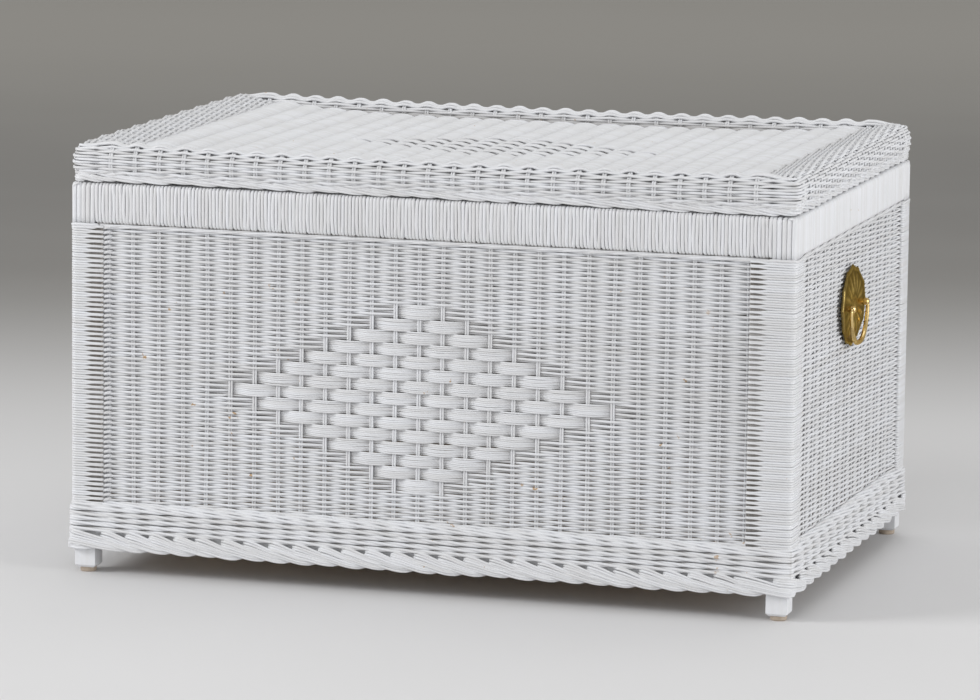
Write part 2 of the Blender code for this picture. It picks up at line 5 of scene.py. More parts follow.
import bpy
import numpy as np
from mathutils import Matrix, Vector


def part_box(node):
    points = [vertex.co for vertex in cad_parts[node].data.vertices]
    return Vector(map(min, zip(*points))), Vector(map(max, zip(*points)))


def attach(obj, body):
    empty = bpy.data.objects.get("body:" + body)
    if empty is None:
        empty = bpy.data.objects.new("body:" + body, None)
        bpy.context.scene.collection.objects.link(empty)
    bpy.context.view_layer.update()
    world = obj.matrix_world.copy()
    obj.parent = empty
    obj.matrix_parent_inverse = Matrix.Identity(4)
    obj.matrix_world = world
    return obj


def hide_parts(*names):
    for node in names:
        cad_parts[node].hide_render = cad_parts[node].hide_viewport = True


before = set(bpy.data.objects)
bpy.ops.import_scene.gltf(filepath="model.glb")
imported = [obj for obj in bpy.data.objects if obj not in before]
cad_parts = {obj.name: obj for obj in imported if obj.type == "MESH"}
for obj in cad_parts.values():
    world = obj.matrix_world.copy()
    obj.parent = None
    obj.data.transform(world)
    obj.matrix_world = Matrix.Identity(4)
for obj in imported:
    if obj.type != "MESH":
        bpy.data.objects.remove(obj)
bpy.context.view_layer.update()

MM = 0.001
UP = np.array([0.0, 0.0, 1.0])
SIDES = {
    "front": (np.array([0.0, -1.0, 0.0]), np.array([1.0, 0.0, 0.0])),
    "right": (np.array([1.0, 0.0, 0.0]), np.array([0.0, 1.0, 0.0])),
    "back": (np.array([0.0, 1.0, 0.0]), np.array([-1.0, 0.0, 0.0])),
    "left": (np.array([-1.0, 0.0, 0.0]), np.array([0.0, -1.0, 0.0])),
}
CORNERS = {
    "front_left": (-1, -1),
    "front_right": (1, -1),
    "back_right": (1, 1),
    "back_left": (-1, 1),
}

# ---- sizes, from the frame ----
RAIL_LOW, RAIL_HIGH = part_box("rail_wrap_front")
POST_LOW, POST_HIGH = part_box("corner_post_front_right")
WALE_LOW, WALE_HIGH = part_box("waling_band")
FOOT_LOW, FOOT_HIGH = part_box("foot_border")
BORDER_LOW, BORDER_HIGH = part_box("lid_border")
HALF_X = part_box("rail_wrap_right")[1].x
HALF_Y = -RAIL_LOW.y
RAIL_BOTTOM = RAIL_LOW.z
RAIL_TOP = RAIL_HIGH.z
POST_X = (POST_LOW.x + POST_HIGH.x) / 2
POST_Y = -(POST_LOW.y + POST_HIGH.y) / 2
POST_HALF = (POST_HIGH.x - POST_LOW.x) / 2
WALE_TOP = WALE_HIGH.z
WALE_BOTTOM = WALE_LOW.z
WALE_OUT = WALE_HIGH.x - HALF_X
FOOT_BOTTOM = FOOT_LOW.z
FOOT_OUT = FOOT_HIGH.x - HALF_X
LID_X = BORDER_HIGH.x
LID_Y = BORDER_HIGH.y
LID_BOTTOM = BORDER_LOW.z
LID_WALL_BOTTOM, LID_TOP = (corner.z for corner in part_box("lid_side_weave"))

# ---- reed and weave ----
REED = 1.66 * MM
ROWS = 116
ROW = (RAIL_BOTTOM - WALE_TOP) / ROWS
STAKE_PITCH = 0.8 / 26
END_PITCH = 0.042
FRONT_STAKES = 27
END_STAKES = 13
LIFT = 3.0 * MM
ROD = 1.3 * MM
ROD_SPREAD = 1.35 * MM
SIDE_LIFT = 2.2 * MM
SIDE_REED = 1.5 * MM
BRICK_FILL = 1.02
DIAMOND_HEIGHT = 0.238
STEPS = 6
BRICK_ROWS = 5
BRICK_REEDS = 7


def front_stakes():
    """The front's stakes stand closer together in the middle, and a little to the left."""
    k = np.arange(FRONT_STAKES) - (FRONT_STAKES - 1) / 2
    return -11.0 * MM + 29.41 * MM * k + 0.03 * MM * k**2 + 0.0073 * MM * k**3


def ease(t, flat=0.08):
    """0 to 1 with level ends, as a reed that lies flat over a stake."""
    t = np.clip((t - flat) / (1 - 2 * flat), 0, 1)
    return (1 - np.cos(np.pi * t)) / 2


def bend(t, sharp=1.15):
    """0 to 1, level halfway: a fine reed that turns quickly in and out beside each stake."""
    t = 2 * t - 1
    return (1 + np.sign(t) * np.abs(t) ** sharp) / 2


def unit(v):
    return v / np.linalg.norm(v, axis=-1, keepdims=True)


def evenly(count, pitch):
    return (np.arange(count) - (count - 1) / 2) * pitch


def alternate(count, row, lift=1.0):
    """Over one stake and under the next, the other way round in the next row."""
    return np.where((np.arange(count) + row) % 2 == 0, lift, -lift)


def between(first, middle, last):
    return np.concatenate([[first], middle, [last]])


def spread(values, share):
    """Values at the knots, filled in between them by share."""
    inner = values[:-1, None] + (values[1:] - values[:-1])[:, None] * share
    return np.append(inner.ravel(), values[-1])


def interpolate(u, at, rows):
    """The row of numbers at each u, where at says how far along each given row lies."""
    return np.stack([np.interp(u, at, column) for column in rows.T], -1)


class Reeds:
    """Round reeds gathered into one mesh. Each reed has its own tone."""

    def __init__(self, seed, sides=6):
        self.rng = np.random.default_rng(seed)
        self.sides = sides
        self.verts = []
        self.quads = []
        self.caps = []
        self.tones = []
        self.count = 0

    def jitter(self, size, count=None):
        """Random offsets with a spread of size mm."""
        return self.rng.normal(0, size * MM, count)

    def add(self, points, radius, ref, squeeze=1.0, closed=False):
        """A reed along points. radius is its half width, squeeze its thickness over its width, along ref."""
        points = np.asarray(points, float)
        n = len(points)
        if closed:
            tangent = np.roll(points, -1, 0) - np.roll(points, 1, 0)
        else:
            tangent = np.gradient(points, axis=0)
        across = unit(np.cross(tangent, np.broadcast_to(ref, points.shape)))
        lift = unit(np.cross(across, tangent))
        angle = 2 * np.pi * np.arange(self.sides) / self.sides
        radius = np.broadcast_to(radius, (n,))[:, None, None]
        around = np.cos(angle)[None, :, None] * lift[:, None] * squeeze
        around = around + np.sin(angle)[None, :, None] * across[:, None]
        self.verts.append((points[:, None] + radius * around).reshape(-1, 3))
        k = self.sides
        rings = np.arange(n if closed else n - 1)
        a = (rings[:, None] * k + np.arange(k)).ravel()
        b = (rings[:, None] * k + (np.arange(k) + 1) % k).ravel()
        step = np.where(rings + 1 < n, k, k - n * k)[:, None].repeat(k, 1).ravel()
        self.quads.append(np.stack([a, b, b + step, a + step], 1) + self.count)
        if not closed:
            self.caps.append(np.arange(k)[::-1] + self.count)
            self.caps.append(np.arange(k) + (n - 1) * k + self.count)
        self.tones.append(np.full(n * k, self.rng.random()))
        self.count += n * k

    def build(self, name, material, body, depth=None, replaces=()):
        """Make the mesh. depth gives how far in the weave each point lies, 0 to 1, for the grime and painted
        shade.
        """
        verts = np.concatenate(self.verts)
        quads = np.concatenate(self.quads)
        caps = np.array(self.caps, int).reshape(-1, self.sides)
        mesh = bpy.data.meshes.new(name)
        mesh.vertices.add(len(verts))
        mesh.vertices.foreach_set("co", verts.astype(np.float32).ravel())
        loops = np.concatenate([quads.ravel(), caps.ravel()])
        mesh.loops.add(len(loops))
        mesh.loops.foreach_set("vertex_index", loops.astype(np.int32))
        cap_starts = len(quads) * 4 + np.arange(len(caps)) * self.sides
        starts = np.concatenate([np.arange(len(quads)) * 4, cap_starts])
        mesh.polygons.add(len(starts))
        mesh.polygons.foreach_set("loop_start", starts.astype(np.int32))
        mesh.polygons.foreach_set("use_smooth", np.ones(len(starts), bool))
        mesh.update(calc_edges=True)
        mesh.validate()
        set_attribute(mesh, "tone", np.concatenate(self.tones))
        set_attribute(mesh, "depth", np.zeros(len(verts)) if depth is None else depth(verts))
        return finish_piece(name, mesh, material, body, replaces)


def set_attribute(mesh, name, values):
    attribute = mesh.attributes.new(name, "FLOAT", "POINT")
    attribute.data.foreach_set("value", np.clip(values, 0, 1).astype(np.float32))


def add_object(name, data):
    added = bpy.data.objects.new(name, data)
    bpy.context.scene.collection.objects.link(added)
    return added


def finish_piece(name, mesh, material, body, replaces=()):
    piece = add_object(name, mesh)
    mesh.materials.append(material)
    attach(piece, body)
    if replaces:
        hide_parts(*replaces)
    return piece


# ---- materials ----
class Nodes:
    """A short way to write a node material."""

    def __init__(self, name):
        self.material = bpy.data.materials.new(name)
        self.material.use_nodes = True
        self.tree = self.material.node_tree
        self.tree.nodes.clear()
        self.shader = self.node("BsdfPrincipled")
        self.link(self.shader.outputs[0], self.node("OutputMaterial").inputs[0])
        self.place = self.node("TexCoord").outputs["Object"]

    def node(self, kind, **inputs):
        node = self.tree.nodes.new("ShaderNode" + kind)
        for name, value in inputs.items():
            node.inputs[name.replace("_", " ")].default_value = value
        return node

    def link(self, a, b):
        self.tree.links.new(a, b)

    def set(self, **values):
        for name, value in values.items():
            self.shader.inputs[name.replace("_", " ")].default_value = value

    def attribute(self, name):
        node = self.node("Attribute")
        node.attribute_name = name
        return node.outputs["Fac"]

    def noise(self, scale, detail=3.0, stretch=(1, 1, 1), rough=0.55):
        mapping = self.node("Mapping", Scale=stretch)
        self.link(self.place, mapping.inputs["Vector"])
        node = self.node("TexNoise", Scale=scale, Detail=detail, Roughness=rough)
        self.link(mapping.outputs[0], node.inputs["Vector"])
        return node.outputs["Fac"]

    def ramp(self, source, low, high, a=0.0, b=1.0):
        node = self.node("MapRange", From_Min=low, From_Max=high, To_Min=a, To_Max=b)
        node.interpolation_type = "SMOOTHSTEP"
        self.link(source, node.inputs["Value"])
        return node.outputs[0]

    def math(self, kind, a, b):
        node = self.node("Math")
        node.operation = kind
        for socket, value in zip(node.inputs, (a, b)):
            if isinstance(value, (int, float)):
                socket.default_value = value
            else:
                self.link(value, socket)
        return node.outputs[0]

    def mix(self, factor, a, b, kind="MIX"):
        node = self.node("Mix")
        node.data_type = "RGBA"
        node.blend_type = kind
        self.link(factor, node.inputs["Factor"])
        for key, value in ((6, a), (7, b)):
            if isinstance(value, tuple):
                node.inputs[key].default_value = (*value, 1.0)
            else:
                self.link(value, node.inputs[key])
        return node.outputs[2]

    def bump(self, height, distance, strength=1.0):
        node = self.node("Bump", Distance=distance, Strength=strength)
        self.link(height, node.inputs["Height"])
        self.link(node.outputs[0], self.shader.inputs["Normal"])

    def color(self, socket):
        self.link(socket, self.shader.inputs["Base Color"])

    def rough(self, socket):
        self.link(socket, self.shader.inputs["Roughness"])


PAINT = (0.79, 0.80, 0.83)
PAINT_WARM = (0.715, 0.715, 0.725)
# grime and painted shade: the colour that reeds deep in the weave are darkened towards
GRIME_AND_SHADE = (0.24, 0.215, 0.19)
CHIP = (0.52, 0.36, 0.22)


def painted_reed(name, grime_and_shade=0.65, chips=0.72, paint=PAINT, paint_warm=PAINT_WARM):
    m = Nodes(name)
    tone = m.mix(m.attribute("tone"), paint, paint_warm)
    soft = m.mix(m.ramp(m.noise(9.0), 0.3, 0.75, 0.0, 0.35), tone, (0.68, 0.68, 0.685))
    speck = m.ramp(m.noise(95.0, 2.0), chips, chips + 0.035)
    place = m.ramp(m.noise(6.0, 1.0), 0.5, 0.62)
    chipped = m.mix(m.math("MULTIPLY", speck, place), soft, CHIP)
    # darker where the reed lies deeper in the weave: partly grime, partly painted shade in the gaps
    dirt_and_shade = m.math("MULTIPLY", m.ramp(m.attribute("depth"), 0.45, 1.0), grime_and_shade)
    m.color(m.mix(dirt_and_shade, chipped, GRIME_AND_SHADE))
    m.rough(m.ramp(m.noise(40.0), 0.3, 0.7, 0.38, 0.55))
    m.bump(m.noise(420.0, 4.0), 0.0004, 0.35)
    m.set(IOR=1.47)
    return m.material


def wood(name, grain, light, dark, rough, bump, share=None, patch=None):
    """Grain between two colours. patch is a noise, its range and strength, and the colour that it adds."""
    m = Nodes(name)
    lines = m.noise(*grain)
    color = m.mix(m.ramp(lines, *share) if share else lines, light, dark)
    if patch:
        noise, limits, added = patch
        color = m.mix(m.ramp(m.noise(*noise), *limits), color, added)
    m.color(color)
    m.rough(m.ramp(lines, *rough))
    m.bump(lines, *bump)
    return m.material


def metal(name, bright, dark, low, high, rough, scale=70.0):
    m = Nodes(name)
    patch = m.noise(scale, 4.0)
    base = m.mix(m.ramp(patch, low, high), bright, dark)
    tarnish = m.math("MULTIPLY", m.ramp(m.attribute("depth"), 0.1, 0.9), 0.85)
    m.color(m.mix(tarnish, base, tuple(0.3 * c for c in dark)))
    m.rough(m.ramp(patch, 0.3, 0.7, rough[0], rough[1]))
    m.bump(m.noise(260.0, 3.0), 0.0003, 0.3)
    m.set(Metallic=1.0, Specular_Tint=(0.9, 0.72, 0.42, 1.0))
    return m.material


REED_PAINT = painted_reed("painted_reed")
REED_LID = painted_reed("painted_reed_lid", grime_and_shade=0.5)
# painted shade: a dark reed colour for the strips that stand behind the post slots
REED_PAINTED_SHADE = painted_reed("painted_shade_reed", paint=GRIME_AND_SHADE, paint_warm=(0.12, 0.105, 0.09))
REED_BRICK = painted_reed("painted_reed_broad", grime_and_shade=0.3, chips=0.75)
WOOD_PAINT = wood(
    "painted_wood", (14.0, 5.0, (9, 9, 1)), PAINT, PAINT_WARM, (0.3, 0.7, 0.4, 0.6), (0.001, 0.35),
    (0.3, 0.75, 0.0, 0.6), ((60.0, 3.0), (0.69, 0.73), CHIP),
)
WOOD_BARE = wood(
    "bare_wood", (22.0, 6.0, (6, 6, 1)), (0.34, 0.27, 0.21), (0.50, 0.42, 0.34),
    (0.2, 0.8, 0.55, 0.75), (0.0006, 0.4),
)
PLYWOOD = wood(
    "plywood", (7.0, 6.0, (0.6, 9, 3)), (0.52, 0.37, 0.22), (0.70, 0.54, 0.36),
    (0.2, 0.8, 0.5, 0.7), (0.0005, 0.3), None, ((2.4,), (0.35, 0.7, 0.0, 0.4), (0.44, 0.31, 0.19)),
)
BRASS = metal("brass", (0.80, 0.60, 0.28), (0.55, 0.40, 0.17), 0.4, 0.7, (0.20, 0.36))
ANTIQUE = metal("antique_brass", (0.74, 0.55, 0.20), (0.42, 0.30, 0.10), 0.35, 0.65, (0.26, 0.42))
ZINC = metal("zinc", (0.62, 0.63, 0.64), (0.44, 0.44, 0.43), 0.35, 0.65, (0.32, 0.48))

CAD_LOOKS = (
    ("corner_post", WOOD_PAINT),
    ("bottom_rail", WOOD_PAINT),
    ("top_rail", WOOD_PAINT),
    ("lid_rail", WOOD_PAINT),
    ("lid_batten", WOOD_PAINT),
    ("foot_glide", WOOD_BARE),
    ("floor_panel", PLYWOOD),
    ("hinge", ZINC),
    ("pull_bail", BRASS),
    ("pull_post", BRASS),
    ("pull_backing", WOOD_PAINT),
    ("pull_plate", ANTIQUE),
)
for node_name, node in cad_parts.items():
    look = REED_PAINT
    for prefix, material in CAD_LOOKS:
        if node_name.startswith(prefix):
            look = material
    node.data.materials.clear()
    node.data.materials.append(look)


# ---- trunk panels ----
PANEL_MIDDLE = 8.2 * MM  # a wall's middle, behind the trunk's outer face
FRONT_HALF = 0.4173  # from the middle of the front to where its rows pair up beside a post
END_HALF = 0.2723
PAIR_KNOTS = np.array([-8.1, -0.1, 5.5]) * MM  # a row's last knots, past that place
END_CLIMB = np.array([3.4, 4.7, 5.4]) * MM  # how the ends' rows rise to meet the post wraps
ROWS_BELOW = 2  # rows hidden behind the waling
CUT_BACK = 1.5 * MM  # a row that stops at the diamond ends this far past its last stake


def plane(side, middle):
    """A woven wall's middle surface: s along it, v up."""
    normal, along = SIDES[side]

    def surface(s, v):
        s = np.asarray(s, float)
        points = s[..., None] * along + middle * normal + (v * np.ones_like(s))[..., None] * UP
        return points, np.broadcast_to(normal, points.shape)

    return surface


def row_height(row):
    return WALE_TOP + ROW * (row + 0.5)


def wander(rng, size):
    """How far each stake strays along the wall, as a function of height."""
    phase = rng.random(size) * 6.28
    shift = rng.normal(0, 0.5 * MM, size)
    swing = rng.normal(0, 0.55 * MM, size)

    def stray(v):
        return shift + swing * np.sin(v * 13 + phase)

    return stray


def lay_weaver(reeds, surface, v, knots, lifts, radius, steps=STEPS, squeeze=1.0, rise=0.0, way=bend):
    """One weaver through knots along s, lifted off the surface by lifts and up the surface by rise."""
    t = np.linspace(0, 1, steps, endpoint=False)
    heights = reeds.jitter(0.14, len(knots)) + rise
    points, normal = surface(spread(knots, t), v + spread(heights, ease(t)))
    reeds.add(points + normal * spread(lifts, way(t))[:, None], radius, normal, squeeze)


def lay_row(reeds, surface, v, knots, lifts, radius, gap, rise=0.0, way=bend):
    """A weaver from end to end, or in two lengths that stop at the two knots of gap."""
    if gap is None:
        lay_weaver(reeds, surface, v, knots, lifts, radius, rise=rise, way=way)
        return
    rise = np.broadcast_to(rise, knots.shape)
    left, right = gap
    lifts[[left, right]] = -LIFT
    for length, last, past in ((slice(0, left + 1), left, CUT_BACK), (slice(right, None), right, -CUT_BACK)):
        cut = knots.copy()
        cut[last] += past
        lay_weaver(reeds, surface, v, cut[length], lifts[length], radius, rise=rise[length], way=way)


def lay_stake(reeds, surface, s, levels, radius=ROD):
    """Two rods side by side; s gives the stake's place at each level."""
    normal_shift = reeds.jitter(0.15, 2)
    for k, side in enumerate((-1, 1)):
        points, normal = surface(s + side * ROD_SPREAD, levels)
        out = normal_shift[k] + reeds.jitter(0.08, len(levels))
        along = unit(np.gradient(points, axis=0))
        ref = np.where(np.abs((along * normal).sum(1, keepdims=True)) > 0.9, UP, normal)
        reeds.add(points + normal * out[:, None], radius, ref)


class Diamond:
    """A diamond of broad bricks, each of fine reeds side by side over every second stake."""

    def __init__(self, ranks, middle_row, stake_count, seed):
        self.ranks = ranks
        self.first = int(round(middle_row - (2 * ranks - 1) * BRICK_ROWS / 2))
        self.centre = (stake_count - 1) // 2
        self.bricks = Reeds(seed)

    def rank(self, row):
        """How many bricks the course of this row holds, or 0 outside the diamond."""
        course = (row - self.first) // BRICK_ROWS
        if course < 0 or course >= 2 * self.ranks - 1:
            return 0
        return self.ranks - abs(course - (self.ranks - 1))

    def gap(self, row, before):
        """The knots between which this row is left out, with so many knots before the first stake."""
        rank = self.rank(row)
        return (before + self.centre - rank, before + self.centre + rank) if rank else None

    def lay_course(self, row, surface, v, stakes, stray, pitch):
        """The bricks of the course whose middle row this is."""
        rank = self.rank(row)
        if not rank or (row - self.first) % BRICK_ROWS != BRICK_ROWS // 2:
            return
        index = np.arange(self.centre - rank, self.centre + rank + 1)
        knots = stakes[index] + stray(v)[index]
        knots[0] += 2.0 * MM
        knots[-1] -= 2.0 * MM
        in_front = (index - index[0]) % 2 == 1
        lifts = np.where(in_front, LIFT, -LIFT)
        spacing = BRICK_FILL * BRICK_ROWS * pitch / BRICK_REEDS
        for k in range(BRICK_REEDS):
            across = (k - (BRICK_REEDS - 1) / 2) * spacing
            crown = 0.35 * MM * (1 - (2 * k / (BRICK_REEDS - 1) - 1) ** 2)
            drawn_in = across * np.where(in_front, 0.0, -0.04)
            radius = 0.54 * spacing * self.bricks.rng.uniform(0.93, 1.1)
            lay_weaver(
                self.bricks, surface, v + across, knots, lifts + crown, radius,
                squeeze=0.85, rise=drawn_in, way=ease,
            )


def row_end(on_long_side, row):
    """Lifts and rises of a row's last knots, where the rows pair up beside a post."""
    pair = 1 if row % 2 == 0 else -1
    rises = pair * np.array([0.8, 0.9, 0.9]) * MM
    if on_long_side:
        return np.array([0.6 + pair * 1.1, 1.4 + pair * 0.9, 6.5]) * MM, rises
    return END_CLIMB + pair * 0.5 * MM, rises


def panel(side, half, stakes, pitch, ranks, seed):
    """A woven wall between two posts."""
    normal, _ = SIDES[side]
    on_long_side = side in ("front", "back")
    middle = (HALF_Y if on_long_side else HALF_X) - PANEL_MIDDLE
    lift, reed = (LIFT, REED) if on_long_side else (SIDE_LIFT, SIDE_REED)
    surface = plane(side, middle)
    count = len(stakes)
    stray = wander(np.random.default_rng(seed), count)
    diamond = Diamond(ranks, (DIAMOND_HEIGHT - WALE_TOP) / ROW, count, seed + 50)
    parts = 2 if on_long_side else 1

    # how deep in the weave each point lies: drives the grime and painted shade
    def depth(verts):
        # reeds that stand out past this get neither grime nor painted shade
        clean_and_unshaded = 4.2 * MM if on_long_side else 2.4 * MM
        return (middle + clean_and_unshaded - verts @ normal) / (8.5 * MM)

    for part in range(parts):
        reeds = Reeds(seed + part)
        first = ROWS * part // parts if part else -ROWS_BELOW
        for row in range(first, ROWS * (part + 1) // parts):
            v = row_height(row)
            over = alternate(count, row, lift)
            end_lifts, end_rises = row_end(on_long_side, row)
            ends = half + PAIR_KNOTS
            knots = np.concatenate([-ends[::-1], stakes + stray(v), ends])
            lifts = np.concatenate([end_lifts[::-1], over, end_lifts])
            rise = np.concatenate([end_rises[::-1], np.zeros(count), end_rises])
            radius = reed * reeds.rng.uniform(0.93, 1.05)
            lay_row(reeds, surface, v, knots, lifts, radius, diamond.gap(row, len(ends)), rise)
            diamond.lay_course(row, surface, v, stakes, stray, ROW)
        if part == 0:
            levels = np.linspace(WALE_BOTTOM + 4 * MM, RAIL_BOTTOM + 3 * MM, 26)
            shifts = np.array([stray(v) for v in levels])
            for j in range(count):
                lay_stake(reeds, surface, stakes[j] + shifts[:, j], levels)
            lay_edge_knots(reeds, surface, stakes[0])
        name = f"weave_{side}_{part + 1}" if parts > 1 else f"weave_{side}"
        reeds.build(name, REED_PAINT, "trunk", depth, (f"woven_panel_{side}",))
    if ranks:
        diamond.bricks.build(f"diamond_{side}", REED_BRICK, "trunk", depth)
    top_rope(surface, half, pitch, seed + 70).build(f"weave_top_row_{side}", REED_PAINT, "trunk", depth)


def top_rope(surface, half, pitch, seed):
    """Three plies twisted along the wall's upper edge, under the rail."""
    rope = Reeds(seed)
    s = np.linspace(-half + 2 * MM, half - 2 * MM, int(2 * half / (5 * MM)))
    for k in range(3):
        turn = 2 * np.pi * (s / (3 * pitch) + k / 3)
        points, normals = surface(s, RAIL_BOTTOM - 1.9 * MM + 1.2 * MM * np.sin(turn))
        out = 2.9 * MM + 1.6 * MM * np.cos(turn)
        rope.add(points + normals * out[:, None], 1.7 * MM, normals)
    return rope


def lay_edge_knots(reeds, surface, s):
    """Small slanting turns where the rows turn back round the first stake."""
    t = np.linspace(0, 1, 7)
    for row in range(0, ROWS, 2):
        v = WALE_TOP + ROW * (row + 0.6)
        tilt = reeds.rng.uniform(0.9, 1.9) * MM
        shift = reeds.jitter(0.5)
        along = s - 7.8 * MM + 10.5 * MM * t + shift
        points, normal = surface(along, v + tilt * (t - 0.5) * 2)
        out = 6.0 * MM * np.sin(np.pi * t) ** 0.7 - 0.3 * MM
        reeds.add(points + normal * out[:, None], 1.95 * MM, normal)


panel("front", FRONT_HALF, front_stakes(), STAKE_PITCH, 8, 11)
panel("back", FRONT_HALF, evenly(FRONT_STAKES, STAKE_PITCH), STAKE_PITCH, 0, 21)
panel("right", END_HALF, evenly(END_STAKES, END_PITCH), END_PITCH, 0, 31)
panel("left", END_HALF, evenly(END_STAKES, END_PITCH), END_PITCH, 0, 41)


# ---- posts and rails ----
POST_REED_OUT = POST_HALF + 3.1 * MM
POST_TURN = 6.0 * MM
POST_DIP = np.array([-2.0, -4.0]) * MM  # how a wrap's end turns in: along the wall, then out from it
PINCH_LENGTH = 9 * MM
# how far each wrap reaches along the front or back from its post's middle, and where its rows begin to pair
POST_REACH = {
    "front_left": (22.5 * MM, -1.0 * MM),
    "front_right": (37.0 * MM, -19.0 * MM),
    "back_right": (27.0 * MM, -6.0 * MM),
    "back_left": (27.0 * MM, -6.0 * MM),
}
END_REACH = 20.0 * MM


def rounded_loop(half_a, half_b, radius, per_corner=4, per_side=1):
    """Points of a rounded rectangle, in order."""
    corners = ((1, -1), (1, 1), (-1, 1), (-1, -1))
    middles = np.array([half_a - radius, half_b - radius])

    def on_corner(k, degrees):
        angle = math.radians(degrees)
        return corners[k % 4] * middles + radius * np.array([math.cos(angle), math.sin(angle)])

    points = []
    for k in range(4):
        points += [on_corner(k, 90 * (k - 1) + 90 * i / (per_corner - 1)) for i in range(per_corner)]
        end = on_corner(k + 1, 90 * k)
        for i in range(1, per_side + 1):
            share = i / (per_side + 1)
            points.append((1 - share) * points[-1] + share * end)
    return np.array(points)


def post_path(reach, step=4.0 * MM):
    """The wrap's two outer faces from above, from the front's slot round the corner to the end wall."""
    out = POST_REED_OUT
    dip_along, dip_out = POST_DIP
    straight = np.arange(-reach, out - POST_TURN, step)
    front = [(-reach + dip_along, out + dip_out)] + [(a, out) for a in straight]
    angles = np.radians((90, 67, 45, 23, 0))
    centre = out - POST_TURN
    corner = [(centre + POST_TURN * math.cos(a), centre + POST_TURN * math.sin(a)) for a in angles]
    straight = np.arange(-END_REACH, out - POST_TURN, step)[::-1]
    end = [(out, b) for b in straight] + [(out + dip_out, -END_REACH + dip_along)]
    path = np.array(front + corner + end)
    on_front = np.arange(len(path)) < len(front) + 2
    return path, on_front


def lay_post_row(reeds, row, path, on_front, start, signs):
    """One turn of a post's wrap, drawn to its neighbour where it reaches past start."""
    sx, sy = signs
    z = row_height(row) + reeds.jitter(0.1)
    tilt = reeds.rng.normal(0, 0.008)
    start = start + reeds.rng.uniform(-2.5, 2.5) * MM
    pinch = np.where(on_front, np.clip((start - path[:, 0]) / PINCH_LENGTH, 0, 1) ** 0.8, 0.0)
    pair = 1 if row % 2 == 0 else -1
    level = z + tilt * path[:, 0] + pair * 1.0 * MM * pinch
    points = np.stack([sx * (POST_X + path[:, 0]), sy * (POST_Y + path[:, 1]), level], 1)
    radius = (1.6 * MM - 0.32 * MM * pinch) * reeds.rng.uniform(0.96, 1.05)
    reeds.add(points, radius, UP)


def post_wraps():
    """Reed bound round the posts. Beside the weave its rows pair up, with dark slots between the pairs,
    darkened by painted shade strips behind them.
    """
    inner_half = POST_HALF + 0.3 * MM
    inner = rounded_loop(inner_half, inner_half, 4.0 * MM)
    shade_out = POST_Y + POST_HALF + 1.7 * MM
    heights = np.linspace(WALE_TOP, RAIL_BOTTOM - 3 * MM, 4)
    for seed, (corner, (sx, sy)) in enumerate(CORNERS.items()):
        reeds = Reeds(100 + seed)
        shade = Reeds(150 + seed)
        reach, start = POST_REACH[corner]
        path, on_front = post_path(reach)
        for row in range(-1, ROWS):
            lay_post_row(reeds, row, path, on_front, start, (sx, sy))
        ring = np.stack([sx * POST_X + inner[:, 0], sy * POST_Y + inner[:, 1], np.zeros(len(inner))], 1)
        for row in range(ROWS):
            reeds.add(ring + row_height(row) * UP, 1.5 * MM, UP, closed=True)
        for drop, extra in ((1.2 * MM, 0.6 * MM), (4.6 * MM, 0.3 * MM)):
            wide = rounded_loop(POST_REED_OUT + extra, POST_REED_OUT + extra, 6.2 * MM)
            z = RAIL_BOTTOM - drop + 0.5 * MM * np.sin(np.arange(len(wide)) * 1.1 + seed)
            points = np.stack([sx * POST_X + wide[:, 0], sy * POST_Y + wide[:, 1], z], 1)
            reeds.add(points, 1.75 * MM, UP, closed=True)
        # painted shade: dark strips behind the slots between the paired rows
        for a in np.arange(-reach, start + 6 * MM, 2.4 * MM):
            points = np.stack([np.full(4, sx * (POST_X + a)), np.full(4, sy * shade_out), heights], 1)
            shade.add(points, 1.3 * MM, np.array([0.0, sy, 0.0]), squeeze=0.5)

        # how deep in the wrap each point lies: drives the grime and painted shade, held lower on the post's
        # inner faces
        def depth(verts, sx=sx, sy=sy):
            on_x, on_y = sx * verts[:, 0] - POST_X, sy * verts[:, 1] - POST_Y
            deep = (POST_REED_OUT + 1.4 * MM - np.maximum(on_x, on_y)) / (4.6 * MM)
            return np.where(on_x > on_y, 0.55 * np.minimum(deep, 1.0), deep)

        reeds.build(f"post_reed_{corner}", REED_PAINT, "trunk", depth, (f"post_wrap_{corner}",))
        shade.build(f"post_painted_shade_{corner}", REED_PAINTED_SHADE, "trunk")


